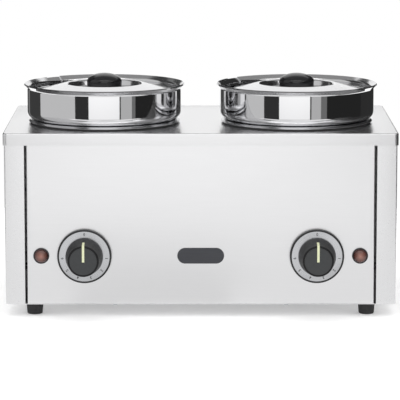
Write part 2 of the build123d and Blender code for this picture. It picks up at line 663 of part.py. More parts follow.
for name, side in SIDES:
    x = side * dial_x
    screw_xs = [(x - THERMOSTAT_SCREW_X, dial_z), (x + THERMOSTAT_SCREW_X, dial_z)]

    # Bezel: a black ring with a shallow seat for the scale
    with BuildPart() as bezel:
        with BuildSketch(turned(x, dial_z)):
            Polygon((SHAFT_HOLE_RADIUS, 0), (BEZEL_RADIUS, 0), (BEZEL_RADIUS, BEZEL_DEPTH),
                    (scale_radius, BEZEL_DEPTH), (scale_radius, scale_back),
                    (SHAFT_HOLE_RADIUS, scale_back), align=None)
        revolve(axis=dial_axis(x, dial_z))
        front_rims = bezel.edges().filter_by(GeomType.CIRCLE).group_by(Axis.Y)[0]
        fillet(front_rims.sort_by(SortBy.RADIUS)[-1], radius=BEZEL_EDGE)
        with BuildSketch(facing(screw_seat)):
            with Locations(*screw_xs):
                Circle(SCREW_HEAD_RADIUS + THREAD_GAP)
        extrude(amount=BEZEL_DEPTH, mode=Mode.SUBTRACT)
        with BuildSketch(facing()):
            with Locations(*screw_xs):
                Circle(SCREW_RADIUS + THREAD_GAP)
        extrude(amount=BEZEL_DEPTH, mode=Mode.SUBTRACT)
    keep(bezel.part, f"dial_bezel_{name}")

    with BuildPart() as scale_ring:
        with BuildSketch(facing(scale_back)):
            with Locations((x, dial_z)):
                Circle(scale_radius - SCALE_GAP)
                Circle(SCALE_BORE, mode=Mode.SUBTRACT)
        extrude(amount=SCALE_SHEET)
    keep(scale_ring.part, f"scale_ring_{name}")

    # Knob: skirt, tapered grip and flat face, grooved for its pointer
    side_slope = Plane(origin=(x, front_y, dial_z), x_dir=(0, -1, 0), z_dir=(-1, 0, 0))
    inner_face = knob_face - POINTER_DEPTH
    pointer_low = knob_face - POINTER_SHARE * (knob_face - knob_back - KNOB_SKIRT)
    pointer_radius = KNOB_FACE_RADIUS + POINTER_SHARE * (KNOB_RADIUS - KNOB_FACE_RADIUS)
    with BuildPart() as knob:
        with BuildSketch(turned(x, dial_z)):
            Polygon((0, knob_back), (KNOB_RADIUS, knob_back),
                    (KNOB_RADIUS, knob_back + KNOB_SKIRT), (KNOB_FACE_RADIUS, knob_face),
                    (0, knob_face), align=None)
        revolve(axis=dial_axis(x, dial_z))
        fillet(knob.edges().filter_by(GeomType.CIRCLE).group_by(Axis.Y)[0], radius=KNOB_EDGE)
        with BuildSketch(facing(knob_back)):
            with Locations((x, dial_z)):
                Circle(SHAFT_RADIUS + KNOB_BORE_GAP)
            with Locations((x, dial_z - SHAFT_RADIUS + SHAFT_FLAT / 2)):
                Rectangle(2 * SHAFT_RADIUS, SHAFT_FLAT - 2 * KNOB_BORE_GAP, mode=Mode.SUBTRACT)
        extrude(amount=SHAFT_IN_KNOB + KNOB_BORE_GAP, mode=Mode.SUBTRACT)
        with BuildSketch(facing(knob_face)):
            with Locations((x, dial_z)):
                Circle(FACE_GROOVE_RADIUS + FACE_GROOVE_WIDTH / 2)
                Circle(FACE_GROOVE_RADIUS - FACE_GROOVE_WIDTH / 2, mode=Mode.SUBTRACT)
        extrude(amount=-FACE_GROOVE_DEPTH, mode=Mode.SUBTRACT)
        with BuildSketch(side_slope):
            Polygon((KNOB_REACH, -POINTER_TAIL - POINTER_GAP),
                    (KNOB_REACH, 2 * KNOB_RADIUS), (pointer_low - POINTER_GAP, 2 * KNOB_RADIUS),
                    (pointer_low - POINTER_GAP, pointer_radius - POINTER_DEPTH),
                    (inner_face - POINTER_GAP, KNOB_FACE_RADIUS - POINTER_DEPTH),
                    (inner_face - POINTER_GAP, -POINTER_TAIL - POINTER_GAP), align=None)
        extrude(amount=POINTER_WIDTH / 2 + POINTER_GAP, both=True, mode=Mode.SUBTRACT)
    keep(knob.part, f"knob_{name}")

    with BuildPart() as pointer:
        with BuildSketch(side_slope):
            Polygon((KNOB_REACH, -POINTER_TAIL),
                    (KNOB_REACH, KNOB_FACE_RADIUS), (knob_face, KNOB_FACE_RADIUS + POINTER_PROUD),
                    (pointer_low, pointer_radius + POINTER_PROUD),
                    (pointer_low, pointer_radius - POINTER_DEPTH + POINTER_GAP),
                    (inner_face, KNOB_FACE_RADIUS - POINTER_DEPTH + POINTER_GAP),
                    (inner_face, -POINTER_TAIL), align=None)
        extrude(amount=POINTER_WIDTH / 2, both=True)
    keep(pointer.part, f"pointer_{name}")

    # Thermostat shaft: round in its bush, with a flat inside the knob
    with BuildPart() as shaft:
        with BuildSketch(facing(shaft_back)):
            with Locations((x, dial_z)):
                Circle(SHAFT_RADIUS)
        extrude(amount=shaft_front - shaft_back)
        with BuildSketch(facing(knob_back)):
            with Locations((x, dial_z - SHAFT_RADIUS)):
                Rectangle(2 * SHAFT_RADIUS, 2 * SHAFT_FLAT)
        extrude(amount=SHAFT_IN_KNOB, mode=Mode.SUBTRACT)
    keep(shaft.part, f"thermostat_shaft_{name}")

    with BuildPart() as thermostat:
        with BuildSketch(facing(body_back)):
            with Locations((x, dial_z)):
                Rectangle(THERMOSTAT_WIDTH, THERMOSTAT_HEIGHT)
        extrude(amount=THERMOSTAT_DEPTH)
        with BuildSketch(facing(body_back - TAB_LENGTH)):
            with Locations((x, dial_z)):
                with GridLocations(TAB_PITCH, 0, 3, 1):
                    Rectangle(TAB_SHEET, TAB_WIDTH)
        extrude(amount=TAB_LENGTH)
        with BuildSketch(facing(shaft_back - SHAFT_GAP)):
            with Locations((x, dial_z)):
                Circle(SHAFT_RADIUS + SHAFT_GAP)
        extrude(amount=THERMOSTAT_DEPTH, mode=Mode.SUBTRACT)
        with BuildSketch(facing(body_front - THERMOSTAT_SCREW_LENGTH - THREAD_GAP)):
            with Locations(*screw_xs):
                Circle(SCREW_RADIUS + THREAD_GAP)
        extrude(amount=THERMOSTAT_DEPTH, mode=Mode.SUBTRACT)
    keep(thermostat.part, f"thermostat_{name}")

    # Sensor: a bulb held upright on the well's wall, on a bent capillary
    bulb_reach = WELL_RADIUS + WELL_SHEET + CLIP_GAP + CLIP_SHEET + CLIP_GAP + BULB_RADIUS
    bulb_turn = math.radians(BULB_ANGLE)
    bulb_x = side * (POT_PITCH / 2 + bulb_reach * math.sin(bulb_turn))
    bulb_y = pot_y - bulb_reach * math.cos(bulb_turn)
    with BuildPart() as sensor:
        jog_x = bulb_x + side * CAPILLARY_JOG
        with BuildLine() as route:
            FilletPolyline((jog_x, bulb_y, thermostat_top),
                           (jog_x, bulb_y, thermostat_top + BULB_HEIGHT / 3),
                           (bulb_x, bulb_y, thermostat_top + 2 * BULB_HEIGHT / 3),
                           (bulb_x, bulb_y, bulb_bottom), radius=CAPILLARY_BEND)
        with BuildSketch(Plane(origin=(jog_x, bulb_y, thermostat_top), z_dir=(0, 0, 1))):
            Circle(CAPILLARY_RADIUS)
        sweep()
        pillars([(bulb_x, bulb_y)], BULB_RADIUS, bulb_bottom, bulb_bottom + BULB_LENGTH)
    keep(sensor.part, f"sensor_{name}")
    bulb_places.append((bulb_x, bulb_y))

    # Lamp: a domed lens in a rimmed body that a spring nut holds
    x = side * lamp_x
    with BuildPart() as lamp_lens:
        with BuildSketch(turned(x, dial_z)):
            with BuildLine():
                Polyline((LAMP_LENS_RADIUS, LAMP_RIM_DEPTH), (0, LAMP_RIM_DEPTH),
                         (0, LAMP_RIM_DEPTH + LAMP_LENS_RISE))
                ThreePointArc((0, LAMP_RIM_DEPTH + LAMP_LENS_RISE),
                              (LAMP_LENS_RADIUS * 0.62, LAMP_RIM_DEPTH + LAMP_LENS_RISE * 0.76),
                              (LAMP_LENS_RADIUS, LAMP_RIM_DEPTH))
            make_face()
        revolve(axis=dial_axis(x, dial_z))
    keep(lamp_lens.part, f"lamp_lens_{name}")

    with BuildPart() as lamp_body:
        with BuildSketch(facing()):
            with Locations((x, dial_z)):
                Circle(LAMP_RIM_RADIUS)
        extrude(amount=LAMP_RIM_DEPTH)
        with BuildSketch(facing(-LAMP_LENGTH)):
            with Locations((x, dial_z)):
                Circle(LAMP_BARREL_RADIUS)
        extrude(amount=LAMP_LENGTH)
        with BuildSketch(facing(-LAMP_LENGTH - TAB_LENGTH)):
            with Locations((x, dial_z)):
                with GridLocations(LAMP_BARREL_RADIUS, 0, 2, 1):
                    Rectangle(TAB_SHEET, TAB_WIDTH)
        extrude(amount=TAB_LENGTH)
    keep(lamp_body.part, f"lamp_body_{name}")

# Clips that hold the bulbs on the wells' walls
with BuildPart() as bulb_clips:
    for share in (0.2, 0.8):
        clip_bottom = bulb_bottom + share * BULB_LENGTH - CLIP_HEIGHT / 2
        clip_top = clip_bottom + CLIP_HEIGHT
        pillars(bulb_places, BULB_RADIUS + CLIP_GAP + CLIP_SHEET, clip_bottom, clip_top)
        punch(bulb_places, BULB_RADIUS + CLIP_GAP, clip_bottom, clip_top)
keep(bulb_clips.part, "bulb_clips")

with BuildPart() as thermostat_screws:
    places = [(side * dial_x + way * THERMOSTAT_SCREW_X, dial_z)
              for name, side in SIDES for way in (-1, 1)]
    with BuildSketch(facing(screw_seat)):
        with Locations(*places):
            Circle(SCREW_HEAD_RADIUS)
    extrude(amount=SCREW_HEAD_HEIGHT)
    with BuildSketch(facing(screw_seat)):
        with Locations(*places):
            Circle(SCREW_RADIUS)
    extrude(amount=-(screw_seat + SHEET + THERMOSTAT_SCREW_LENGTH))
keep(thermostat_screws.part, "thermostat_screws")

with BuildPart() as lamp_nuts:
    with BuildSketch(facing(-SHEET)):
        with Locations(*[(side * lamp_x, dial_z) for name, side in SIDES]):
            Circle(LAMP_NUT_RADIUS)
            Circle(LAMP_BARREL_RADIUS + THREAD_GAP, mode=Mode.SUBTRACT)
    extrude(amount=-LAMP_NUT_HEIGHT)
keep(lamp_nuts.part, "lamp_nuts")

# Badge: a bare plate with round ends on the front panel
with BuildPart() as badge:
    with BuildSketch(facing()):
        with Locations((0, dial_z)):
            SlotOverall(BADGE_WIDTH, BADGE_HEIGHT)
    extrude(amount=BADGE_SHEET)
    chamfer(badge.faces().sort_by(Axis.Y)[0].edges(), length=BADGE_EDGE)
keep(badge.part, "badge")

# Cable gland through the back panel, with its locknut inside
with BuildPart() as cable_gland:
    with BuildSketch(facing(-2 * body_half_y)):
        with Locations((gland_x, GLAND_Z)):
            RegularPolygon(GLAND_FLATS / 2, 6, major_radius=False)
    extrude(amount=-GLAND_HEX_DEPTH)
    with BuildSketch(facing(-2 * body_half_y)):
        with Locations((gland_x, GLAND_Z)):
            Circle(GLAND_DOME_RADIUS)
    extrude(amount=-GLAND_REACH)
    fillet(cable_gland.faces().sort_by(Axis.Y)[-1].edges(), radius=GLAND_EDGE)
    with BuildSketch(facing(-2 * body_half_y)):
        with Locations((gland_x, GLAND_Z)):
            Circle(GLAND_THREAD_RADIUS)
    extrude(amount=GLAND_THREAD_LENGTH)
    with BuildSketch(facing(-2 * body_half_y - GLAND_REACH)):
        with Locations((gland_x, GLAND_Z)):
            Circle(GLAND_BORE)
    extrude(amount=GLAND_REACH + GLAND_THREAD_LENGTH, mode=Mode.SUBTRACT)
keep(cable_gland.part, "cable_gland")

with BuildPart() as gland_locknut:
    with BuildSketch(facing(SHEET - 2 * body_half_y)):
        with Locations((gland_x, GLAND_Z)):
            RegularPolygon(GLAND_FLATS / 2, 6, major_radius=False)
            Circle(GLAND_THREAD_RADIUS + THREAD_GAP, mode=Mode.SUBTRACT)
    extrude(amount=LOCKNUT_HEIGHT)
keep(gland_locknut.part, "gland_locknut")

# Terminal block and earth stud on the base plate
block_y = back_y - BLOCK_INSET
pole_pitch = BLOCK_WIDTH / BLOCK_POLES
channel_z = base_top + BLOCK_HEIGHT / 2
with BuildPart() as terminal_block:
    with BuildSketch(Plane.XY.offset(base_top)):
        with Locations((0, block_y)):
            Rectangle(BLOCK_WIDTH, BLOCK_DEPTH)
    extrude(amount=BLOCK_HEIGHT)
    with BuildSketch(upright(0, block_y)):
        with Locations((0, channel_z)):
            with GridLocations(pole_pitch, 0, BLOCK_POLES, 1):
                Circle(BLOCK_CHANNEL)
    extrude(amount=BLOCK_DEPTH, both=True, mode=Mode.SUBTRACT)
keep(terminal_block.part, "terminal_block")

earth_place = [(EARTH_X, block_y)]
with BuildPart() as earth_stud:
    pillars(earth_place, EARTH_RADIUS, base_top, base_top + EARTH_HEIGHT)
    hexagons(earth_place, NUT_FLATS + EARTH_RADIUS, base_top, base_top + NUT_HEIGHT)
keep(earth_stud.part, "earth_stud")

# Wiring: each side's live, element, cutout, neutral and lamp wires
tab_y = front_y - body_back + TAB_LENGTH
element_end = element_z - ELEMENT_TAIL
element_turn = math.radians(ELEMENT_OPEN_ANGLE / 2)
element_y = pot_y - ELEMENT_RADIUS * math.cos(element_turn)
cutout_y = pot_y + CUTOUT_Y
cutout_end = heater_bottom - CUTOUT_HEIGHT - TAB_LENGTH
block_front = block_y - BLOCK_DEPTH / 2
low_z = base_top + WIRE_LOW
lamp_tab_y = front_y + LAMP_LENGTH + TAB_LENGTH
with BuildPart() as wiring:
    for name, side in SIDES:
        middle_tab = side * dial_x
        outer_tab = side * (dial_x + TAB_PITCH)
        inner_tab = side * (dial_x - TAB_PITCH)
        outer_pole = side * pole_pitch * 1.5
        inner_pole = side * pole_pitch / 2
        element_reach = ELEMENT_RADIUS * math.sin(element_turn)
        near_end = side * (POT_PITCH / 2 + element_reach)
        far_end = side * (POT_PITCH / 2 - element_reach)
        cutout_in = side * (POT_PITCH / 2 - CUTOUT_RADIUS / 2)
        cutout_out = side * (POT_PITCH / 2 + CUTOUT_RADIUS / 2)
        lamp_tab = side * (lamp_x - LAMP_BARREL_RADIUS / 2)
        wire((middle_tab, tab_y, dial_z), (middle_tab, tab_y + WIRE_LEAD, dial_z),
             (middle_tab, tab_y + 2 * WIRE_LEAD, low_z),
             (outer_pole, block_front - WIRE_ENTRY, channel_z),
             (outer_pole, block_front, channel_z))
        wire((inner_tab, tab_y, dial_z), (inner_tab, tab_y + WIRE_LEAD, dial_z),
             (near_end, element_y, element_end - WIRE_LEAD),
             (near_end, element_y, element_end))
        wire((far_end, element_y, element_end), (far_end, element_y, element_end - WIRE_DROP),
             (cutout_in, cutout_y, cutout_end - WIRE_DROP), (cutout_in, cutout_y, cutout_end))
        wire((cutout_out, cutout_y, cutout_end), (cutout_out, cutout_y, cutout_end - WIRE_DROP),
             (inner_pole, block_front - 1.5 * WIRE_ENTRY, channel_z),
             (inner_pole, block_front, channel_z))
        wire((outer_tab, tab_y, dial_z), (outer_tab, tab_y + WIRE_LEAD, dial_z),
             (lamp_tab, tab_y + WIRE_LEAD, dial_z), (lamp_tab, lamp_tab_y, dial_z))
keep(wiring.part, "wiring")
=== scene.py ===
import logging
import math
from dataclasses import dataclass, field
from enum import Enum
from typing import Callable

import bmesh
import bpy
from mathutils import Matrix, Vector


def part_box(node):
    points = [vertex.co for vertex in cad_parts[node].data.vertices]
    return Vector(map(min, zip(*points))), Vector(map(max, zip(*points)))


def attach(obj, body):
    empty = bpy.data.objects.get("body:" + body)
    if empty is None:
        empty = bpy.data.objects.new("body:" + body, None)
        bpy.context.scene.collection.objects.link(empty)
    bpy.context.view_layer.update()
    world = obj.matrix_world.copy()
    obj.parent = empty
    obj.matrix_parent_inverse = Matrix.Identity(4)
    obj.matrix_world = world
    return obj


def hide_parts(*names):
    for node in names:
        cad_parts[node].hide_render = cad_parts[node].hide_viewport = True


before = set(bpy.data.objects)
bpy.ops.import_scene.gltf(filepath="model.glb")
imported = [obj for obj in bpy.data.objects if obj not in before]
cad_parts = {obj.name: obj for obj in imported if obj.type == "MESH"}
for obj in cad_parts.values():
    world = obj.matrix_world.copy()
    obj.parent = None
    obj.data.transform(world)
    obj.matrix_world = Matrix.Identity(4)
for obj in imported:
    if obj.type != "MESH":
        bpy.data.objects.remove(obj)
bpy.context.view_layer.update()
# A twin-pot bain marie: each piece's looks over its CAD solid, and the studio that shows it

MM = 0.001
X, Y, Z = 0, 1, 2
# Places closer than this are the same, and points closer than the second are merged, in mm
SAME = 0.01
MERGE = 0.002
# A turned profile's radius on its own axis, in mm, small enough to close when merged
ON_AXIS = 0.001
# The sharpest bend that a sheet's shading runs round, in degrees
SHEET_ANGLE = 30.0
# A face points along an axis where that axis's share of its normal is over this
FACING = 0.9
# The span that a noise texture's values mostly keep to
NOISE_SPAN = (0.3, 0.7)
# Octaves of noise along a sheet's grain, and across turning marks
GRAIN_DETAIL = 4.0
TURNING_DETAIL = 3.0
# The colour sockets of a Mix node: first, second and result
MIX_FIRST, MIX_SECOND, MIX_RESULT = 6, 7, 2
SIDES = (("left", -1), ("right", 1))
LOG = logging.getLogger("bain_marie")


class Grain(Enum):
    """Direction in which a surface's marks run."""

    ALONG_X = "along_x"
    ALONG_Y = "along_y"
    ROUND_Z = "round_z"
    ROUND_Y = "round_y"
    NONE = "none"


class Open(Enum):
    """The face that a bent sheet tray is open at, as an axis and a sign."""

    LEFT = (X, -1)
    RIGHT = (X, 1)
    BACK = (Y, 1)
    BELOW = (Z, -1)


def linear(hex_colour: str) -> tuple[float, float, float, float]:
    """Turn an sRGB hex colour into a linear colour.

    Args:
        hex_colour: six hex digits, such as "d9dadc".

    Returns:
        Linear red, green, blue and an alpha of 1.
    """
    parts = [int(hex_colour[i:i + 2], 16) / 255 for i in (0, 2, 4)]
    low = [c / 12.92 if c <= 0.04045 else ((c + 0.055) / 1.055) ** 2.4 for c in parts]
    return low[0], low[1], low[2], 1.0


def add_node(tree: bpy.types.NodeTree, kind: str, settings: dict[str, object],
             links: dict[str | int, bpy.types.NodeSocket]) -> bpy.types.Node:
    """Add one node with its settings and links.

    Args:
        tree: the node tree that takes the node.
        kind: the node's type name.
        settings: socket values by socket name, or node properties by name.
        links: source sockets by the name of the input that each feeds.

    Returns:
        The new node.
    """
    node = tree.nodes.new(kind)
    for key, value in settings.items():
        if hasattr(node, key):
            setattr(node, key, value)
        else:
            node.inputs[key].default_value = value
    for key, source in links.items():
        tree.links.new(source, node.inputs[key])
    return node


@dataclass(frozen=True)
class Finish:
    """A surface finish: two close colours, a roughness range and a fine relief.

    The pattern is noise on object coordinates. Its sizes across and along the marks, and its
    relief, are in millimetres. The centre, in metres, is the middle of marks that run round a
    piece. Where a painted-light radius is given, the second colour is painted light, strongest at
    that centre and fading out at that radius.
    """

    label: str
    colour: str
    second_colour: str
    metallic: float
    roughness: tuple[float, float]
    across: float
    along: float
    relief: float
    grain: Grain = Grain.NONE
    centre: tuple[float, float, float] = (0.0, 0.0, 0.0)
    round_brush: bool = False
    transmission: float = 0.0
    specular: float = 0.5
    anisotropic: float = 0.0
    glow_radius: float = 0.0
    glow_share: float = 0.8

    def reach(self, tree: bpy.types.NodeTree) -> bpy.types.NodeSocket:
        """Measure how far each place is from the finish's axis.

        Args:
            tree: the material's node tree.

        Returns:
            The socket of that distance, in metres.
        """
        place = add_node(tree, "ShaderNodeTexCoord", {}, {})
        flat = (1, 1, 0) if self.grain is Grain.ROUND_Z else (1, 0, 1)
        moved = add_node(tree, "ShaderNodeVectorMath", {"operation": "SUBTRACT"},
                         {0: place.outputs["Object"]})
        moved.inputs[1].default_value = self.centre
        level = add_node(tree, "ShaderNodeVectorMath", {"operation": "MULTIPLY"},
                         {0: moved.outputs[0]})
        level.inputs[1].default_value = flat
        distance = add_node(tree, "ShaderNodeVectorMath", {"operation": "LENGTH"},
                            {0: level.outputs[0]})
        return distance.outputs["Value"]

    def pattern(self, tree: bpy.types.NodeTree) -> bpy.types.Node:
        """Build the noise that the colour, roughness and relief share.

        Args:
            tree: the material's node tree.

        Returns:
            The noise node.
        """
        fine, coarse = 1 / (self.across * MM), 1 / (self.along * MM)
        if self.grain in (Grain.ROUND_Z, Grain.ROUND_Y):
            return add_node(tree, "ShaderNodeTexNoise",
                            {"noise_dimensions": "1D", "Scale": fine,
                             "Detail": TURNING_DETAIL},
                            {"W": self.reach(tree)})
        place = add_node(tree, "ShaderNodeTexCoord", {}, {})
        scales = {Grain.ALONG_X: (coarse, fine, fine), Grain.ALONG_Y: (fine, coarse, fine)}
        scale = scales.get(self.grain, (fine, fine, fine))
        stretch = add_node(tree, "ShaderNodeMapping", {"Scale": scale},
                           {"Vector": place.outputs["Object"]})
        return add_node(tree, "ShaderNodeTexNoise", {"Scale": 1.0, "Detail": GRAIN_DETAIL},
                        {"Vector": stretch.outputs["Vector"]})

    def material(self) -> bpy.types.Material:
        """Build the finish as a node material.

        Returns:
            The material, made once for each label.
        """
        made = bpy.data.materials.get(self.label)
        if made:
            return made
        made = bpy.data.materials.new(self.label)
        made.use_nodes = True
        tree = made.node_tree
        shader = tree.nodes["Principled BSDF"]
        shader.inputs["Metallic"].default_value = self.metallic
        shader.inputs["Transmission Weight"].default_value = self.transmission
        shader.inputs["Specular IOR Level"].default_value = self.specular
        shader.inputs["Anisotropic"].default_value = self.anisotropic
        if self.round_brush:
            around = add_node(tree, "ShaderNodeTangent", {"direction_type": "RADIAL", "axis": "Y"},
                              {})
            tree.links.new(around.outputs["Tangent"], shader.inputs["Tangent"])
        noise = self.pattern(tree)
        dulled = add_node(tree, "ShaderNodeMapRange",
                          {"From Min": NOISE_SPAN[0], "From Max": NOISE_SPAN[1],
                           "To Min": self.roughness[0], "To Max": self.roughness[1]},
                          {"Value": noise.outputs["Fac"]})
        share = noise.outputs["Fac"]
        # Painted light: the second colour is laid on strongest at the centre and fades out at the
        # painted-light radius
        if self.glow_radius:
            fade = add_node(tree, "ShaderNodeMapRange",
                            {"From Min": self.glow_radius * MM, "From Max": 0.0,
                             "To Min": 0.0, "To Max": self.glow_share},
                            {"Value": self.reach(tree)})
            share = fade.outputs["Result"]
        blend = add_node(tree, "ShaderNodeMix", {"data_type": "RGBA"}, {"Factor": share})
        blend.inputs[MIX_FIRST].default_value = linear(self.colour)
        blend.inputs[MIX_SECOND].default_value = linear(self.second_colour)
        bump = add_node(tree, "ShaderNodeBump", {"Strength": 1.0, "Distance": self.relief * MM},
                        {"Height": noise.outputs["Fac"]})
        tree.links.new(blend.outputs[MIX_RESULT], shader.inputs["Base Color"])
        tree.links.new(dulled.outputs["Result"], shader.inputs["Roughness"])
        tree.links.new(bump.outputs["Normal"], shader.inputs["Normal"])
        return made


# Satin stainless sheet: fine brushed grain along the sheet, soft grey reflections. The real
# grain is 0.1 mm across, drawn 1.0 mm here so that it shows. On the side panels it runs
# from front to back.
SATIN_FRONT = Finish("satin_stainless_sheet", "e6e6e7", "e3e3e4", 1.0, (0.275, 0.295), 1.0, 40.0,
                     0.0004, Grain.ALONG_X, anisotropic=0.3)
SATIN_SIDE = Finish("satin_stainless_side", "e6e6e7", "e3e3e4", 1.0, (0.27, 0.3), 1.0, 40.0,
                    0.0006, Grain.ALONG_Y, anisotropic=0.3)
# The plate's flange: the same satin, a little duller where it was bent
SATIN_FLANGE = Finish("satin_stainless_flange", "eaeaeb", "e6e6e7", 1.0, (0.32, 0.36), 1.0, 40.0,
                      0.0004, Grain.ALONG_X, anisotropic=0.3)
# Bright stainless top: the same sheet before brushing, so pots mirror softly in it
BRIGHT_TOP = Finish("bright_stainless_top", "ebebec", "e8e8e9", 1.0, (0.23, 0.27), 1.0, 40.0,
                    0.0008, Grain.ALONG_X)
# Zinc plating: greyer than stainless, a little cloudy
ZINC = Finish("zinc_plated_steel", "b4b7bb", "a4a7ab", 1.0, (0.3, 0.42), 2.5, 2.5, 0.01)
# Moulded synthetic rubber: black and dull, its fine pitting drawn 0.8 mm wide so that it shows
RUBBER = Finish("moulded_rubber", "1b1b1c", "232324", 0.0, (0.6, 0.75), 0.8, 0.8, 0.03)
# Silicone sealing ring: dark and slightly greasy
SILICONE = Finish("silicone_seal", "1f1f20", "28282a", 0.0, (0.45, 0.6), 2.0, 2.0, 0.01)
# Polished phenolic resin: deep black, glossy, with a faint flow in the moulding
BAKELITE = Finish("polished_phenolic", "161618", "1d1d1f", 0.0, (0.16, 0.24), 6.0, 6.0, 0.01)
# Moulded phenolic of the dial knobs: black with a dulled skin. The face is a lighter grey:
# painted light, the lamps' sheen on it painted into its colour
KNOB_RESIN = Finish("moulded_phenolic", "121213", "19191a", 0.0, (0.34, 0.44), 4.0, 4.0, 0.01,
                    specular=0.25)
KNOB_FACE_PAINTED_LIGHT = Finish("phenolic_face_painted_light", "2e3032", "27292a", 0.0, (0.34, 0.42), 3.0, 3.0, 0.01)
# Moulded ABS: black with a soft, even gloss
ABS = Finish("moulded_abs", "161617", "1d1d1f", 0.0, (0.3, 0.4), 1.5, 1.5, 0.01)
# Anodised dark aluminium badge plate: grey with a faint long grain
BADGE = Finish("anodised_badge_plate", "45464a", "3c3d41", 0.6, (0.32, 0.42), 0.8, 30.0, 0.004,
               Grain.ALONG_X)
# Pale filled pointer: matt lacquer in the knob's groove
POINTER = Finish("pointer_lacquer", "d3d6b2", "c9cca6", 0.0, (0.45, 0.55), 2.0, 2.0, 0.005)
# Printing ink: flat near-black
INK = Finish("printing_ink", "2e2f31", "37383a", 0.0, (0.5, 0.6), 1.0, 1.0, 0.002)
# Cast aluminium: pale grey and matt, with the sand's mottle
ALUMINIUM = Finish("cast_aluminium", "bfc1c4", "b0b2b5", 1.0, (0.35, 0.5), 3.0, 3.0, 0.02)
# Annealed heater sheath: brown-grey from its first heating
SHEATH = Finish("annealed_heater_sheath", "6f6a66", "5a5552", 1.0, (0.4, 0.55), 5.0, 5.0, 0.01)
# Bare copper capillary: warm and clean
COPPER = Finish("bare_copper", "c47f5c", "b0704f", 1.0, (0.25, 0.4), 4.0, 4.0, 0.005)
# Bare brass: yellow and a little dulled
BRASS = Finish("bare_brass", "c8a865", "b89957", 1.0, (0.25, 0.35), 3.0, 3.0, 0.005)
# Switch resin: cream and matt
RESIN = Finish("switch_resin", "cfc6b0", "c4bba5", 0.0, (0.5, 0.6), 2.0, 2.0, 0.01)
# Terminal polyamide: off-white with a low sheen
TERMINAL = Finish("terminal_polyamide", "e2dfd6", "d8d5cb", 0.0, (0.4, 0.5), 2.0, 2.0, 0.01)
# Moulded nylon: black-grey, waxy
NYLON = Finish("moulded_nylon", "222224", "2a2a2c", 0.0, (0.45, 0.55), 1.5, 1.5, 0.01)
# Silicone wire jacket: brick red and rubbery
WIRE = Finish("silicone_wire_jacket", "8a3028", "7c2a23", 0.0, (0.45, 0.6), 2.0, 2.0, 0.01)


def polished(name: str, centre: Vector) -> Finish:
    """Mirror-polished stainless for a turned piece, with faint polishing rings.

    The real rings are too fine to show, and are drawn 1.5 mm apart here and on the lids.

    Args:
        name: the piece that wears it.
        centre: the piece's axis, in metres.

    Returns:
        The finish for that piece.
    """
    return Finish(f"mirror_stainless_{name}", "e9e9ea", "e2e2e4", 1.0, (0.03, 0.07), 1.5, 1.5,
                  0.0015, Grain.ROUND_Z, tuple(centre))


def spun(name: str, centre: Vector) -> Finish:
    """Softer polished stainless of a lid, blurring what it mirrors."""
    return Finish(f"soft_stainless_{name}", "e9e9ea", "e2e2e4", 1.0, (0.13, 0.19), 1.5, 1.5,
                  0.0015, Grain.ROUND_Z, tuple(centre))


def drawn(name: str, centre: Vector) -> Finish:
    """Deep-drawn stainless, bright, with soft rings from the drawing."""
    return Finish(f"drawn_stainless_{name}", "e0e0e2", "d6d7d9", 1.0, (0.2, 0.28), 2.0, 2.0,
                  0.002, Grain.ROUND_Z, tuple(centre))


def lamp_lens(name: str, centre: Vector, radius: float) -> Finish:
    """Red-brown tinted acrylic, with painted shade darkening its rim and painted light paling its
    middle.
    """
    return Finish(f"tinted_acrylic_{name}", "34191a", "c08a7c", 0.0, (0.05, 0.12), 2.5, 2.5,
                  0.004, Grain.ROUND_Y, tuple(centre), transmission=0.3, glow_radius=radius)


def dial_plate(name: str, centre: Vector) -> Finish:
    """Spun-brushed aluminium dial ring: its grain runs round the dial."""
    return Finish(f"spun_aluminium_{name}", "c9cacc", "babbbe", 1.0, (0.26, 0.36), 0.8, 0.8,
                  0.004, Grain.ROUND_Y, tuple(centre), anisotropic=0.8, round_brush=True)


@dataclass(frozen=True)
class Ring:
    """A corner of a turned profile, in mm: radius, height and the rounding of the corner."""

    radius: float
    height: float
    rounding: float = 0.0


def soften(rings: list[Ring], steps: int = 7) -> list[tuple[float, float]]:
    """Round the corners of a turned profile.

    Args:
        rings: the profile's corners in order.
        steps: points along each rounded corner.

    Returns:
        Radius and height of every point of the rounded profile, in mm.
    """
    points = []
    for index, ring in enumerate(rings):
        here = Vector((ring.radius, ring.height))
        if ring.rounding <= 0 or index in (0, len(rings) - 1):
            points.append((here.x, here.y))
            continue
        before = Vector((rings[index - 1].radius, rings[index - 1].height)) - here
        after = Vector((rings[index + 1].radius, rings[index + 1].height)) - here
        corner = before.angle(after)
        reach = ring.rounding / math.tan(corner / 2)
        first = here + before.normalized() * reach
        last = here + after.normalized() * reach
        middle = here + (before.normalized() + after.normalized()).normalized() \
            * (ring.rounding / math.sin(corner / 2))
        start, end = first - middle, last - middle
        sweep = start.angle(end)
        weight = math.sin(sweep)
        for step in range(steps + 1):
            share = step / steps
            arm = (start * math.sin((1 - share) * sweep) + end * math.sin(share * sweep)) / weight
            points.append((middle.x + arm.x, middle.y + arm.y))
    return points


def only(obj: bpy.types.Object) -> None:
    """Make one object the only selected and active one.

    Args:
        obj: the object.
    """
    bpy.ops.object.select_all(action="DESELECT")
    obj.select_set(True)
    bpy.context.view_layer.objects.active = obj


def clear_selection() -> None:
    """Deselect everything, so that the next primitive is alone."""
    bpy.ops.object.select_all(action="DESELECT")


def settle(obj: bpy.types.Object, angle: float = 35.0) -> None:
    """Bake an object's place into its mesh and shade it smooth.

    Args:
        obj: the object.
        angle: the sharpest corner that is still shaded smooth, in degrees.
    """
    only(obj)
    bpy.ops.object.transform_apply(location=True, rotation=True, scale=True)
    bpy.ops.object.shade_smooth_by_angle(angle=math.radians(angle))


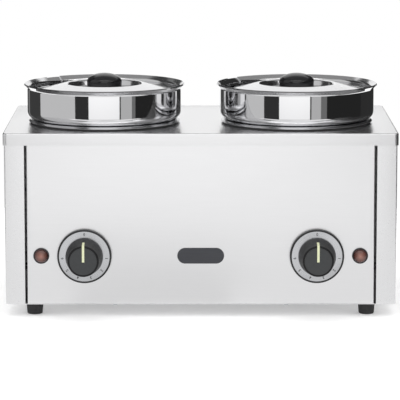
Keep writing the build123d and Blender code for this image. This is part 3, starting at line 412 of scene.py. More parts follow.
def pick_edges(obj: bpy.types.Object, test: Callable[[Vector, Vector], bool]) -> None:
    """Select the edges whose two ends pass a test, in edit mode.

    Args:
        obj: the object in edit mode.
        test: takes the two ends and says whether the edge is wanted.
    """
    bpy.ops.mesh.select_mode(type="EDGE")
    bpy.ops.mesh.select_all(action="DESELECT")
    mesh = bmesh.from_edit_mesh(obj.data)
    for edge in mesh.edges:
        if test(edge.verts[0].co, edge.verts[1].co):
            edge.select_set(True)
    bmesh.update_edit_mesh(obj.data)


def pick_faces(obj: bpy.types.Object, test: Callable[[Vector, Vector], bool]) -> None:
    """Select the faces that pass a test, in edit mode.

    Args:
        obj: the object in edit mode.
        test: takes a face's centre and normal and says whether the face is wanted.
    """
    bpy.ops.mesh.select_mode(type="FACE")
    bpy.ops.mesh.select_all(action="DESELECT")
    mesh = bmesh.from_edit_mesh(obj.data)
    for face in mesh.faces:
        if test(face.calc_center_median(), face.normal):
            face.select_set(True)
    bmesh.update_edit_mesh(obj.data)


def thicken(obj: bpy.types.Object, sheet: float, offset: float) -> None:
    """Give an open shell its wall.

    Args:
        obj: the shell.
        sheet: wall thickness in mm.
        offset: -1 grows inwards, 0 both ways, 1 outwards.
    """
    only(obj)
    wall = obj.modifiers.new("wall", "SOLIDIFY")
    wall.thickness = sheet * MM
    wall.offset = offset
    wall.use_even_offset = True
    bpy.ops.object.modifier_apply(modifier=wall.name)


def cut_away(obj: bpy.types.Object, cutter: bpy.types.Object) -> None:
    """Subtract one object from another and delete the cutter.

    Args:
        obj: the object that is cut.
        cutter: what is taken out of it.
    """
    only(obj)
    cut = obj.modifiers.new("cut", "BOOLEAN")
    cut.operation = "DIFFERENCE"
    cut.object = cutter
    cut.solver = "EXACT"
    bpy.ops.object.modifier_apply(modifier=cut.name)
    bpy.data.objects.remove(cutter)


def turn(name: str, rings: list[Ring], centre: Vector, sheet: float = 0.0,
         forward: bool = False, steps: int = 128, closed: bool = False) -> bpy.types.Object:
    """Turn a profile about its axis, ring by ring.

    Args:
        name: the object's name.
        rings: profile corners, from one end to the other, in mm.
        centre: the point that the profile is measured from, in metres.
        sheet: wall thickness in mm, 0 for a solid profile.
        forward: turn about the line towards the front instead of the vertical.
        steps: sides of each ring.
        closed: join the last ring to the first.

    Returns:
        The turned object, settled at its place.
    """
    points = soften(rings)
    if closed:
        points.append(points[0])
    clear_selection()
    start = points[0]
    bpy.ops.mesh.primitive_circle_add(vertices=steps, radius=max(start[0], ON_AXIS) * MM,
                                      fill_type="NOTHING", location=(0, 0, 0))
    obj = bpy.context.object
    obj.name = name
    bpy.ops.object.mode_set(mode="EDIT")
    bpy.ops.mesh.select_all(action="SELECT")
    bpy.ops.transform.translate(value=(0, 0, start[1] * MM))
    for before, after in zip(points, points[1:]):
        rise = (0, 0, (after[1] - before[1]) * MM)
        scale = max(after[0], ON_AXIS) / max(before[0], ON_AXIS)
        bpy.ops.mesh.extrude_edges_move(TRANSFORM_OT_translate={"value": rise})
        bpy.ops.transform.resize(value=(scale, scale, 1), center_override=(0, 0, 0))
    bpy.ops.mesh.select_all(action="SELECT")
    bpy.ops.mesh.remove_doubles(threshold=MERGE * MM)
    bpy.ops.mesh.select_all(action="SELECT")
    bpy.ops.mesh.normals_make_consistent(inside=False)
    bpy.ops.object.mode_set(mode="OBJECT")
    if sheet:
        thicken(obj, sheet, 0)
    if forward:
        obj.rotation_euler = (math.radians(90), 0, 0)
    obj.location = centre
    settle(obj)
    return obj


def tray(name: str, low: Vector, high: Vector, opening: Open, sheet: float,
         bends: list[tuple[Callable[[Vector, Vector], bool], float]],
         segments: int = 6) -> bpy.types.Object:
    """Fold a sheet tray: a box open at one side, with its bends rounded.

    Args:
        name: the object's name.
        low: lowest corner in metres.
        high: highest corner in metres.
        opening: the open side.
        sheet: sheet thickness in mm.
        bends: an edge test, on places in metres, with its outer radius in mm, for each bend.
        segments: flats across each bend.

    Returns:
        The tray, settled.
    """
    clear_selection()
    bpy.ops.mesh.primitive_cube_add(size=1, location=(low + high) / 2)
    obj = bpy.context.object
    obj.name = name
    obj.scale = high - low
    bpy.ops.object.transform_apply(location=True, rotation=True, scale=True)
    axis, sign = opening.value
    bpy.ops.object.mode_set(mode="EDIT")
    pick_faces(obj, lambda centre, normal: normal[axis] * sign > FACING)
    bpy.ops.mesh.delete(type="FACE")
    for test, radius in bends:
        pick_edges(obj, test)
        bpy.ops.mesh.bevel(offset=radius * MM, segments=segments, affect="EDGES", clamp_overlap=True)
    bpy.ops.object.mode_set(mode="OBJECT")
    thicken(obj, sheet, -1)
    settle(obj, SHEET_ANGLE)
    return obj


def near(value: float, target: float) -> bool:
    """Say whether two places in metres are the same."""
    return abs(value - target) < SAME * MM


def upright(start: Vector, end: Vector) -> bool:
    """Say whether the edge between two points stands upright."""
    return near(start.x, end.x) and near(start.y, end.y)


def lies_at(axis: int, level: float) -> Callable[[Vector, Vector], bool]:
    """Make a test for the edges that lie at one level along an axis, in metres."""
    return lambda start, end: near(start[axis], level) and near(end[axis], level)


def cylinder_cutter(radius: float, depth: float, place: Vector, forward: bool,
                    steps: int = 48) -> bpy.types.Object:
    """Make a round cutter.

    Args:
        radius: radius in mm.
        depth: length in mm.
        place: its middle in metres.
        forward: lie along Y instead of standing along Z.
        steps: sides of the round.

    Returns:
        The cutter.
    """
    clear_selection()
    turn_x = math.radians(90) if forward else 0
    bpy.ops.mesh.primitive_cylinder_add(vertices=steps, radius=radius * MM, depth=depth * MM,
                                        location=place, rotation=(turn_x, 0, 0))
    return bpy.context.object


def middle_of(node: str) -> Vector:
    """Give the middle of a CAD node's box, in metres."""
    low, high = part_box(node)
    return (low + high) / 2


def axis_of(node: str) -> Vector:
    """Give the foot of a turned node's upright axis, in metres."""
    middle = middle_of(node)
    return Vector((middle.x, middle.y, 0))


def wear(obj: bpy.types.Object, finish: Finish) -> None:
    """Put one finish on an object."""
    obj.data.materials.clear()
    obj.data.materials.append(finish.material())


def wear_second(obj: bpy.types.Object, finish: Finish, test: Callable[[Vector], bool]) -> None:
    """Put a second finish on some faces of an object that already wears its first.

    Args:
        obj: the object.
        finish: the second finish.
        test: takes a face's centre, in metres, and says whether the face wears it.
    """
    obj.data.materials.append(finish.material())
    for face in obj.data.polygons:
        if test(face.center):
            face.material_index = 1


def mount(obj: bpy.types.Object, body: str, slot: str, finish: Finish, *nodes: str) -> None:
    """Dress a finished piece and tie it to the frame.

    Args:
        obj: the piece.
        body: the body that it rides on.
        slot: the record's material slot; not used.
        finish: its finish.
        nodes: the nodes that it stands for.
    """
    wear(obj, finish)
    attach(obj, body)
    if nodes:
        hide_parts(*nodes)
    LOG.info("%s rides on %s", obj.name, body)


@dataclass
class Casing:
    """The folded steel casing: top plate and four panels. Sizes in mm."""

    sheet: float = 0.8
    plate_corner: float = 5.5
    plate_bend: float = 1.6
    body_corner: float = 1.6
    panel_bend: float = 1.5
    hole_radius: float = 94.2
    shaft_hole: float = 5.5
    lamp_hole: float = 6.7
    punch_depth: float = 10.0
    hole_steps: int = 128

    def build_top(self) -> None:
        """Fold the top plate and cut its two well holes."""
        low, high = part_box("top_plate")
        plate = tray("top_plate_sheet", low, high, Open.BELOW, self.sheet,
                     [(upright, self.plate_corner), (lies_at(Z, high.z), self.plate_bend)])
        for name, _ in SIDES:
            place = axis_of(f"water_well_{name}")
            place.z = high.z
            cut_away(plate, cylinder_cutter(self.hole_radius, self.punch_depth, place, False,
                                            self.hole_steps))
        settle(plate, SHEET_ANGLE)
        mount(plate, "casing", "satin_steel", BRIGHT_TOP, "top_plate")
        bend = high.z - self.plate_bend * MM
        wear_second(plate, SATIN_FLANGE, lambda place: place.z < bend)

    def build_sides(self) -> None:
        """Fold the two side panels."""
        for name, side in SIDES:
            node = f"{name}_side_panel"
            low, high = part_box(node)
            face = high.x if side > 0 else low.x
            opening = Open.LEFT if side > 0 else Open.RIGHT
            panel = tray(f"{node}_sheet", low, high, opening, self.sheet,
                         [(lambda start, end: upright(start, end) and near(start.x, face),
                           self.body_corner)])
            mount(panel, "casing", "satin_steel", SATIN_SIDE, node)

    def build_front(self) -> None:
        """Fold the front panel and cut its shaft and lamp holes."""
        low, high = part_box("front_panel")
        panel = tray("front_panel_sheet", low, high, Open.BACK, self.sheet,
                     [(lies_at(Y, low.y), self.panel_bend)])
        for name, _ in SIDES:
            for node, radius in ((f"knob_{name}", self.shaft_hole),
                                 (f"lamp_body_{name}", self.lamp_hole)):
                place = middle_of(node)
                place.y = low.y
                cut_away(panel, cylinder_cutter(radius, self.punch_depth, place, True))
        settle(panel, SHEET_ANGLE)
        mount(panel, "casing", "satin_steel", SATIN_FRONT, "front_panel")

    def build(self) -> None:
        """Build the casing and dress the sheets that stay as they are."""
        self.build_top()
        self.build_sides()
        self.build_front()
        for node in ("back_panel", "base_plate"):
            wear(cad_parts[node], SATIN_FRONT)


@dataclass
class Feet:
    """Four tapered rubber feet, sunk for their screws. Sizes in mm."""

    top_radius: float = 11.2
    bottom_radius: float = 9.8
    height: float = 16.0
    edge: float = 1.6
    sink: float = 8.0
    sink_radius: float = 4.1
    bore: float = 2.1

    def build(self) -> None:
        """Turn the feet."""
        for node in ("front_left_foot", "front_right_foot", "back_left_foot", "back_right_foot"):
            place = middle_of(node)
            place.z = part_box(node)[0].z
            rings = [Ring(self.bore, self.sink), Ring(self.sink_radius, self.sink),
                     Ring(self.sink_radius, 0), Ring(self.bottom_radius, 0, self.edge),
                     Ring(self.top_radius, self.height), Ring(self.bore, self.height)]
            foot = turn(f"{node}_rubber", rings, place, steps=64, closed=True)
            mount(foot, "casing", "black_rubber", RUBBER, node)


@dataclass
class Well:
    """A deep-drawn water well with its convex flange and heater stud. Sizes in mm."""

    side: str
    radius: float = 93.0
    sheet: float = 0.8
    corner: float = 10.0
    ring_radius: float = 99.5
    ring_bend: float = 1.2
    lip_drop: float = 3.4
    crown_reach: float = 3.2
    crown_drop: float = 1.2
    crown_bend: float = 3.0
    stud_radius: float = 3.0
    stud_edge: float = 0.4
    depth: float = 126.0

    def build(self) -> None:
        """Turn the well and its stud."""
        node = f"water_well_{self.side}"
        low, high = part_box(node)
        axis = axis_of(node)
        top = high.z / MM - self.sheet / 2
        plate_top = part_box("top_plate")[1].z / MM
        floor = plate_top - self.depth + self.sheet / 2
        wall = self.radius + self.sheet / 2
        tip = self.ring_radius - self.sheet / 2
        rings = [Ring(0, floor), Ring(wall, floor, self.corner), Ring(wall, top, self.ring_bend),
                 Ring(wall + self.crown_reach, top - self.crown_drop / 2, self.crown_bend),
                 Ring(tip, high.z / MM - self.lip_drop + self.sheet / 2)]
        well = turn(f"{node}_shell", rings, axis, sheet=self.sheet, steps=160)
        mount(well, "casing", "drawn_steel", drawn(node, axis), node)
        stud_rings = [Ring(0, low.z / MM), Ring(self.stud_radius, low.z / MM, self.stud_edge),
                      Ring(self.stud_radius, floor - self.sheet / 2)]
        stud = turn(f"heater_stud_{self.side}", stud_rings, axis, steps=24)
        mount(stud, "casing", "drawn_steel", ZINC)


@dataclass
class Pot:
    """A lift-out pot with a flared rim, a shoulder and a tapered body. Sizes in mm."""

    side: str
    sheet: float = 0.8
    rim_radius: float = 105.5
    wall_radius: float = 101.2
    flare: float = 4.4
    flare_bend: float = 4.0
    neck_radius: float = 91.5
    neck_bend: float = 2.4
    shoulder_bend: float = 10.6
    shoulder_slope: float = 20.0
    neck_rise: float = 5.22
    base_radius: float = 86.0
    base_bend: float = 11.6

    def build(self) -> None:
        """Turn the pot."""
        node = f"pot_{self.side}"
        low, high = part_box(node)
        axis = axis_of(node)
        plate_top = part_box("top_plate")[1].z / MM
        half = self.sheet / 2
        rim, floor = high.z / MM - half, low.z / MM + half
        wall, neck = self.wall_radius - half, self.neck_radius - half
        neck_z = plate_top + self.neck_rise
        shoulder_z = neck_z + (wall - neck) * math.tan(math.radians(self.shoulder_slope))
        rings = [Ring(0, floor), Ring(self.base_radius - half, floor, self.base_bend),
                 Ring(neck, neck_z, self.neck_bend),
                 Ring(wall, shoulder_z, self.shoulder_bend),
                 Ring(wall, rim - self.flare, self.flare_bend),
                 Ring(self.rim_radius - half, rim)]
        pot = turn(f"{node}_shell", rings, axis, sheet=self.sheet, steps=192)
        mount(pot, f"{self.side}_pot", "polished_steel", polished(node, axis), node)


@dataclass
class Lid:
    """An inset lid with its ladle notch and domed knob. Sizes in mm."""

    side: str
    sheet: float = 0.7
    rim_radius: float = 105.0
    skirt_radius: float = 99.7
    flare_bend: float = 5.0
    gutter_bend: float = 3.0
    ridge_radius: float = 49.5
    ridge_rise: float = 13.0
    ridge_bend: float = 3.0
    dish_radius: float = 46.0
    dish_depth: float = 9.5
    dish_bend: float = 3.0
    notch_angles: dict[str, float] = field(
        default_factory=lambda: {"left": 133.5, "right": 143.5})
    notch_width: float = 23.0
    notch_depth: float = 12.0
    notch_height: float = 60.0
    notch_stretch: float = 3.0
    knob_radius: float = 23.0
    knob_base: float = 22.3
    knob_band: float = 12.0
    knob_dome: float = 11.0
    knob_foot_edge: float = 0.8
    dome_step: int = 6

    def notch_cutter(self, axis: Vector, level: float) -> bpy.types.Object:
        """Make the cutter of the ladle notch: round inwards, straight-sided outwards.

        Args:
            axis: the lid's axis, in metres.
            level: the height of the gutter, in mm.

        Returns:
            The cutter, through the skirt and the rim.
        """
        inner = self.skirt_radius - self.notch_depth + self.notch_width / 2
        angle = math.radians(self.notch_angles[self.side])
        way = Vector((math.cos(angle), math.sin(angle), 0))
        place = axis + way * inner * MM + Vector((0, 0, level * MM))
        cutter = cylinder_cutter(self.notch_width / 2, self.notch_height, place, False)
        bpy.ops.object.mode_set(mode="EDIT")
        mesh = bmesh.from_edit_mesh(cutter.data)
        across = Vector((-way.y, way.x, 0))
        for vert in mesh.verts:
            outward = vert.co.dot(way)
            if outward < -ON_AXIS * MM:
                continue
            sideways = 1 if vert.co.dot(across) > 0 else -1
            height = vert.co.z
            vert.co = across * sideways * self.notch_width / 2 * MM \
                + way * max(outward, 0) * self.notch_stretch
            vert.co.z = height
        bmesh.update_edit_mesh(cutter.data)
        bpy.ops.object.mode_set(mode="OBJECT")
        return cutter

    def build(self) -> None:
        """Turn the lid, cut its notch and set the knob on it."""
        node = f"lid_{self.side}"
        low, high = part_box(node)
        axis = axis_of(node)
        half = self.sheet / 2
        rim, gutter = high.z / MM - half, low.z / MM + half
        skirt = self.skirt_radius - half
        ridge = gutter + self.ridge_rise
        dish = ridge - self.dish_depth
        tip = self.rim_radius - half
        rings = [Ring(0, dish), Ring(self.dish_radius, dish, self.dish_bend),
                 Ring(self.ridge_radius, ridge, self.ridge_bend),
                 Ring(skirt, gutter, self.gutter_bend),
                 Ring(skirt, rim - (tip - skirt), self.flare_bend), Ring(tip, rim)]
        lid = turn(f"{node}_shell", rings, axis, sheet=self.sheet, steps=192)
        cut_away(lid, self.notch_cutter(axis, gutter))
        settle(lid)
        body = f"{self.side}_lid"
        mount(lid, body, "polished_steel", spun(node, axis), node)
        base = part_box(f"lid_knob_{self.side}")[0].z / MM
        band = base + self.knob_band
        knob_rings = [Ring(0, base), Ring(self.knob_base, base, self.knob_foot_edge)]
        for degrees in range(0, 91, self.dome_step):
            angle = math.radians(degrees)
            knob_rings.append(Ring(self.knob_radius * math.cos(angle),
                                   band + self.knob_dome * math.sin(angle)))
        knob = turn(f"lid_knob_{self.side}_resin", knob_rings, axis, steps=96)
        mount(knob, body, "black_bakelite", BAKELITE, f"lid_knob_{self.side}")
        wear(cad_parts[f"lid_screw_{self.side}"], ZINC)


@dataclass
class Dial:
    """A thermostat dial: bezel, printed scale and tapered knob. Sizes in mm."""

    side: str
    bezel_radius: float = 34.75
    bezel_depth: float = 7.0
    rim: float = 2.2
    edge: float = 1.0
    inner_edge: float = 0.3
    scale_front: float = 6.7
    scale_sheet: float = 0.6
    scale_bore: float = 20.0
    scale_gap: float = 0.1
    scale_edge: float = 0.15
    bore: float = 5.5
    knob_back: float = 7.4
    knob_radius: float = 24.0
    knob_skirt: float = 4.0
    knob_face_radius: float = 19.8
    knob_face: float = 43.2
    knob_edge: float = 1.6
    skirt_back_edge: float = 0.5
    skirt_front_edge: float = 1.2
    groove_radius: float = 18.0
    groove_width: float = 1.2
    groove_depth: float = 0.8
    print_radius: float = 28.4
    print_size: float = 5.0
    print_rise: float = 0.03
    print_weight: float = 0.12
    turns: tuple[int, ...] = (0, 95, 129, 163, 197, 231, 265)

    def build(self) -> None:
        """Turn the bezel, scale ring and knob, and print the scale."""
        centre = middle_of(f"dial_bezel_{self.side}")
        centre.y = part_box(f"dial_bezel_{self.side}")[1].y
        scale_back = self.scale_front - self.scale_sheet
        seat = self.bezel_radius - self.rim
        bezel_rings = [Ring(self.bore, 0), Ring(self.bezel_radius, 0),
                       Ring(self.bezel_radius, self.bezel_depth, self.edge),
                       Ring(seat, self.bezel_depth, self.inner_edge), Ring(seat, scale_back),
                       Ring(self.bore, scale_back)]
        bezel = turn(f"dial_bezel_{self.side}_ring", bezel_rings, centre, forward=True,
                     steps=128, closed=True)
        mount(bezel, "casing", "black_plastic", ABS, f"dial_bezel_{self.side}")
        outer = seat - self.scale_gap
        plate_rings = [Ring(self.scale_bore, scale_back), Ring(outer, scale_back),
                       Ring(outer, self.scale_front, self.scale_edge),
                       Ring(self.scale_bore, self.scale_front)]
        plate = turn(f"scale_ring_{self.side}_plate", plate_rings, centre, forward=True,
                     steps=128, closed=True)
        mount(plate, "casing", "scale_aluminium", dial_plate(self.side, centre),
              f"scale_ring_{self.side}")
        groove = self.knob_face - self.groove_depth
        groove_outer = self.groove_radius + self.groove_width / 2
        groove_inner = self.groove_radius - self.groove_width / 2
        skirt_front = self.knob_back + self.knob_skirt
        knob_rings = [Ring(0, self.knob_back),
                      Ring(self.knob_radius, self.knob_back, self.skirt_back_edge),
                      Ring(self.knob_radius, skirt_front, self.skirt_front_edge),
                      Ring(self.knob_face_radius, self.knob_face, self.knob_edge),
                      Ring(groove_outer, self.knob_face), Ring(groove_outer, groove),
                      Ring(groove_inner, groove), Ring(groove_inner, self.knob_face),
                      Ring(0, self.knob_face)]
        knob = turn(f"knob_{self.side}_grip", knob_rings, centre, forward=True, steps=128)
        mount(knob, f"{self.side}_knob", "black_bakelite", KNOB_RESIN, f"knob_{self.side}")
        # The face inside the groove wears painted light: a lighter grey for the sheen on it
        front = centre.y - (groove + self.groove_depth / 2) * MM
        wear_second(knob, KNOB_FACE_PAINTED_LIGHT, lambda place: place.y < front
                    and math.hypot(place.x - centre.x, place.z - centre.z) < groove_inner * MM)
        wear(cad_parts[f"pointer_{self.side}"], POINTER)
        wear(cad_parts[f"thermostat_shaft_{self.side}"], ZINC)
        self.print_numbers(centre)

    def print_numbers(self, centre: Vector) -> None:
        """Print plain numbers round the scale.

        Args:
            centre: the dial's middle on the front panel, in metres.
        """
        for number, turned in enumerate(self.turns):
            clear_selection()
            angle = math.radians(turned)
            reach = self.print_radius * MM
            place = centre + Vector((math.sin(angle) * reach, -self.scale_front * MM,
                                     math.cos(angle) * reach))
            bpy.ops.object.text_add(location=place, rotation=(math.radians(90), angle, 0))
            text = bpy.context.object
            text.data.body = str(number)
            text.data.size = self.print_size * MM
            text.data.align_x = "CENTER"
            text.data.align_y = "CENTER"
            text.data.extrude = self.print_rise * MM
            text.data.offset = self.print_weight * MM
            text.data.resolution_u = 2
            bpy.ops.object.convert(target="MESH")
            text.name = f"scale_number_{self.side}_{number}"
            settle(text)
            mount(text, "casing", "pointer_paint", INK)


@dataclass
class Lamp:
    """A neon indicator: a tinted domed lens in a black rim. Sizes in mm.

    The dome's shares of the lens's radius say where its rings stand.
    """

    side: str
    rim_radius: float = 10.2
    rim_depth: float = 2.4
    rim_edge: float = 0.7
    lens_radius: float = 8.9
    lens_rise: float = 5.0
    dome_shares: tuple[float, ...] = (0.94, 0.86, 0.76, 0.64, 0.5, 0.36, 0.22, 0.1)
    barrel_radius: float = 6.5
    barrel_edge: float = 0.8
    seat_dish: float = 0.05
    length: float = 30.0

    def build(self) -> None:
        """Turn the rim with its barrel, and the lens."""
        centre = middle_of(f"lamp_lens_{self.side}")
        centre.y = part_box("front_panel")[0].y
        rim_rings = [Ring(0, -self.length),
                     Ring(self.barrel_radius, -self.length, self.barrel_edge),
                     Ring(self.barrel_radius, 0), Ring(self.rim_radius, 0),
                     Ring(self.rim_radius, self.rim_depth, self.rim_edge),
                     Ring(self.lens_radius, self.rim_depth),
                     Ring(0, self.rim_depth - self.seat_dish)]
        rim = turn(f"lamp_body_{self.side}_rim", rim_rings, centre, forward=True, steps=64)
        mount(rim, "casing", "black_plastic", ABS, f"lamp_body_{self.side}")
        dome = (self.lens_radius ** 2 + self.lens_rise ** 2) / (2 * self.lens_rise)
        top = self.rim_depth + self.lens_rise
        lens_rings = [Ring(0, self.rim_depth), Ring(self.lens_radius, self.rim_depth)]
        for share in self.dome_shares:
            reach = self.lens_radius * share
            lens_rings.append(Ring(reach, top - dome + math.sqrt(dome ** 2 - reach ** 2)))
        lens_rings.append(Ring(0, top))
        lens = turn(f"lamp_lens_{self.side}_dome", lens_rings, centre, forward=True, steps=64)
        # The lens's finish paints shade at its rim and light at its middle
        mount(lens, "casing", "red_lens", lamp_lens(self.side, centre, self.lens_radius),
              f"lamp_lens_{self.side}")


@dataclass
class Insides:
    """The pieces that keep their own shape: electrics, fasteners, seals and badge."""

    finishes: dict[str, Finish] = field(default_factory=lambda: {
        "well_seal_left": SILICONE, "well_seal_right": SILICONE,
        "heater_plate_left": ALUMINIUM, "heater_plate_right": ALUMINIUM,
        "heater_element_left": SHEATH, "heater_element_right": SHEATH,
        "heater_straps": ZINC, "heater_nuts": ZINC, "foot_nuts": ZINC, "lamp_nuts": ZINC,
        "base_screws": ZINC, "foot_screws": ZINC, "thermostat_screws": ZINC,
        "bulb_clips": ZINC, "sensor_left": COPPER, "sensor_right": COPPER,
        "dry_boil_cutout_left": RESIN, "dry_boil_cutout_right": RESIN,
        "thermostat_left": RESIN, "thermostat_right": RESIN,
        "terminal_block": TERMINAL, "earth_stud": BRASS, "wiring": WIRE,
        "cable_gland": NYLON, "gland_locknut": NYLON, "badge": BADGE})

    def build(self) -> None:
        """Dress each of them."""
        for node, finish in self.finishes.items():
            wear(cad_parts[node], finish)


@dataclass
class Studio:
    """Floor, cards, lamps, world and the photograph's camera.

    The camera's lens and places are in mm and its angles in degrees. Floor and cards are in
    metres. Fades are places on a card, from its middle, as a share of its height.
    """

    lens: float = 235.5
    sensor: float = 36.0
    camera_x: float = -6.65
    camera_before_plate: float = 3302.8
    camera_over_plate: float = 434.7
    tilt: float = 8.953
    yaw: float = 0.1
    view_end: float = 100.0
    surround_seen: float = 1.0
    surround_light: float = 1.0
    floor_size: float = 1.5
    floor_drop: float = 0.0002
    floor_roughness: float = 0.9
    floor_glow: float = 0.22
    card_bottom: float = -0.5
    card_top: float = 1.2
    fade_start: float = -0.5
    fade_end: float = -0.22
    ceiling_height: float = 1.5
    table_card_height: float = 0.003
    middle_card_height: float = 0.004

    def light_path(self, tree: bpy.types.NodeTree) -> bpy.types.NodeSocket:
        """Say where a surface or the world is seen straight or in a reflection.

        Args:
            tree: the node tree to build in.

        Returns:
            A socket that is 1 for camera, glossy and transmission rays.
        """
        path = add_node(tree, "ShaderNodeLightPath", {}, {})
        both = add_node(tree, "ShaderNodeMath", {"operation": "MAXIMUM"},
                        {0: path.outputs["Is Camera Ray"], 1: path.outputs["Is Glossy Ray"]})
        every = add_node(tree, "ShaderNodeMath", {"operation": "MAXIMUM"},
                         {0: both.outputs[0], 1: path.outputs["Is Transmission Ray"]})
        return every.outputs[0]

    def build_world(self) -> None:
        """A white surround, with one strength for eye and mirrors and one as a light."""
        world = bpy.data.worlds.new("studio_surround")
        bpy.context.scene.world = world
        world.use_nodes = True
        tree = world.node_tree
        seen = self.light_path(tree)
        strength = add_node(tree, "ShaderNodeMapRange",
                            {"To Min": self.surround_light, "To Max": self.surround_seen},
                            {"Value": seen})
        background = tree.nodes["Background"]
        background.inputs["Color"].default_value = linear("ffffff")
        tree.links.new(strength.outputs["Result"], background.inputs["Strength"])

    def build_floor(self) -> None:
        """A pale floor that stays white but takes the shadow, ending before the cards."""
        clear_selection()
        bpy.ops.mesh.primitive_plane_add(size=self.floor_size,
                                         location=(0, 0, -self.floor_drop))
        floor = bpy.context.object
        floor.name = "studio_floor"
        made = bpy.data.materials.new("studio_paper")
        made.use_nodes = True
        tree = made.node_tree
        shader = tree.nodes["Principled BSDF"]
        shader.inputs["Base Color"].default_value = linear("f0f0f0")
        shader.inputs["Roughness"].default_value = self.floor_roughness
        shader.inputs["Emission Color"].default_value = linear("ffffff")
        shader.inputs["Emission Strength"].default_value = self.floor_glow
        floor.data.materials.append(made)

    def paper(self, card: bpy.types.Object, brightness: float, fade: float = 1.0) -> None:
        """Dress a card that only reflections see.

        Args:
            card: the card.
            brightness: what its upper part gives to a mirror, 0 black to 1 white.
            fade: the share of that brightness at its foot.
        """
        card.visible_camera = False
        card.visible_diffuse = False
        card.visible_transmission = False
        card.visible_shadow = False
        made = bpy.data.materials.new(f"{card.name}_paper")
        made.use_nodes = True
        tree = made.node_tree
        tree.nodes.clear()
        place = add_node(tree, "ShaderNodeTexCoord", {}, {})
        axes = add_node(tree, "ShaderNodeSeparateXYZ", {}, {"Vector": place.outputs["Object"]})
        level = add_node(tree, "ShaderNodeMapRange",
                         {"From Min": self.fade_start, "From Max": self.fade_end,
                          "To Min": brightness * fade, "To Max": brightness},
                         {"Value": axes.outputs["Y"]})
        glow = add_node(tree, "ShaderNodeEmission", {}, {"Strength": level.outputs["Result"]})
        glow.inputs["Color"].default_value = linear("ffffff")
        add_node(tree, "ShaderNodeOutputMaterial", {}, {"Surface": glow.outputs["Emission"]})
        card.data.materials.append(made)

    def card(self, name: str, start: tuple[float, float], end: tuple[float, float],
             brightness: float, fade: float) -> None:
        """Stand a flat card that only reflections see.

        Args:
            name: the card's name.
            start: one end of its foot, X and Y in metres.
            end: the other end.
            brightness: what it gives to a mirror, 0 black to 1 white.
            fade: the share of that brightness at its foot.
        """
        clear_selection()
        run = Vector((end[0] - start[0], end[1] - start[1], 0))
        top, bottom = self.card_top, self.card_bottom
        middle = Vector(((start[0] + end[0]) / 2, (start[1] + end[1]) / 2, (top + bottom) / 2))
        bpy.ops.mesh.primitive_plane_add(
            size=1, location=middle, rotation=(math.radians(90), 0, math.atan2(run.y, run.x)))
        card = bpy.context.object
        card.name = name
        card.scale = (run.length, top - bottom, 1)
        self.paper(card, brightness, fade)

    def level_card(self, name: str, low: tuple[float, float], high: tuple[float, float],
                   height: float, brightness: float) -> None:
        """Lay a level card over or before the object, seen by reflections alone.

        Args:
            name: the card's name.
            low: its lowest corner, X and Y in metres.
            high: its highest corner.
            height: its height in metres.
            brightness: what it gives to a mirror.
        """
        clear_selection()
        middle = ((low[0] + high[0]) / 2, (low[1] + high[1]) / 2, height)
        bpy.ops.mesh.primitive_plane_add(size=1, location=middle)
        card = bpy.context.object
        card.name = name
        card.scale = (high[0] - low[0], high[1] - low[1], 1)
        self.paper(card, brightness)

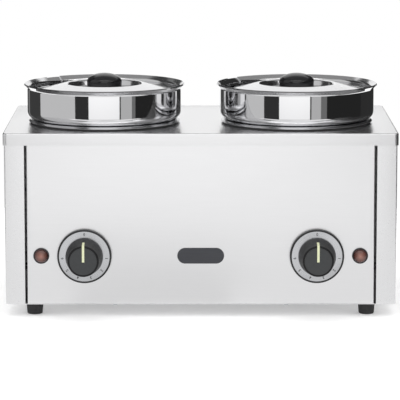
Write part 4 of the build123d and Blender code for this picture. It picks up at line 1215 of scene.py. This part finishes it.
    def build_cards(self) -> None:
        """Stand the cards that give the polished pots their upright strips.

        They stand in a chain round the pots, from behind on the left by the front to behind
        on the right. The left pot's middle is the zero of their Y. Each corner is where the
        two mirror directions of a strip's edge, one from each pot, cross.
        """
        corners = ((-0.5, 1.5), (-0.623, 0.888), (-0.664, 0.684), (-0.774, 0.14),
                   (-0.807, -0.795), (-0.89, -1.965), (0.77, -2.04), (0.85, -2.04),
                   (0.824, -1.065), (1.507, -1.485), (1.2, 0.3), (0.45, 1.6))
        cards = (("flag_back_left_far", 0.06, 1.0), ("flag_back_left_stripe", 0.2, 1.0),
                 ("flag_back_left", 0.05, 1.0), ("card_left", 0.6, 1.0),
                 ("flag_left", 0.035, 1.0), ("card_front", 1.2, 0.6), ("flag_thin", 0.04, 1.0),
                 ("card_right", 0.5, 1.0), ("flag_half", 0.17, 1.0), ("flag_right", 0.02, 1.0),
                 ("flag_back_right", 0.03, 1.0))
        middle = axis_of("pot_left").y
        for (name, brightness, fade), start, end in zip(cards, corners, corners[1:]):
            self.card(name, (start[0], middle + start[1]), (end[0], middle + end[1]),
                      brightness, fade)
        for name, low_corner, high_corner, height, brightness in (
                ("ceiling_dark", (-1.6, -0.6), (1.6, 1.0), self.ceiling_height, 0.28),
                ("table_card", (-0.7, -0.75), (0.7, -0.17), self.table_card_height, 0.92),
                ("table_card_middle", (-0.17, -0.75), (0.04, -0.17), self.middle_card_height,
                 0.8)):
            self.level_card(name, low_corner, high_corner, height, brightness)

    def build_lamps(self) -> None:
        """Hang soft boxes over the object and to its left and right.

        Each has its place, aim and width in metres, and its power in watts.
        """
        for name, place, aim, size, power in (
                ("softbox_top", (0.0, -0.4, 2.4), (0, 0, 0.2), 2.2, 16),
                ("softbox_left", (-2.2, -1.8, 1.6), (0, 0, 0.15), 1.4, 10),
                ("softbox_right", (2.4, -1.4, 1.4), (0, 0, 0.15), 1.2, 7)):
            clear_selection()
            bpy.ops.object.light_add(type="AREA", location=place)
            lamp = bpy.context.object
            lamp.name = name
            lamp.data.size = size
            lamp.data.energy = power
            way = Vector(aim) - Vector(place)
            lamp.rotation_euler = way.to_track_quat("-Z", "Y").to_euler()

    def build_camera(self) -> None:
        """Stand the camera where the photograph was taken from."""
        low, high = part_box("top_plate")
        place = Vector((self.camera_x * MM, low.y - self.camera_before_plate * MM,
                        high.z + self.camera_over_plate * MM))
        clear_selection()
        turn_x = math.radians(90 - self.tilt)
        bpy.ops.object.camera_add(location=place,
                                  rotation=(turn_x, 0, math.radians(-self.yaw)))
        camera = bpy.context.object
        camera.data.lens = self.lens
        camera.data.sensor_width = self.sensor
        camera.data.clip_end = self.view_end
        bpy.context.scene.camera = camera

    def build(self) -> None:
        """Build the studio."""
        self.build_camera()
        self.build_world()
        self.build_floor()
        self.build_cards()
        self.build_lamps()
        bpy.context.scene.view_settings.view_transform = "Standard"


def main() -> None:
    """Build the warmer from the casing outwards, then the studio."""
    logging.basicConfig(level=logging.INFO, format="%(message)s")
    Casing().build()
    Feet().build()
    for side, _ in SIDES:
        Well(side).build()
        Pot(side).build()
        Lid(side).build()
        Dial(side).build()
        Lamp(side).build()
    Insides().build()
    Studio().build()


if __name__ == "__main__":
    main()
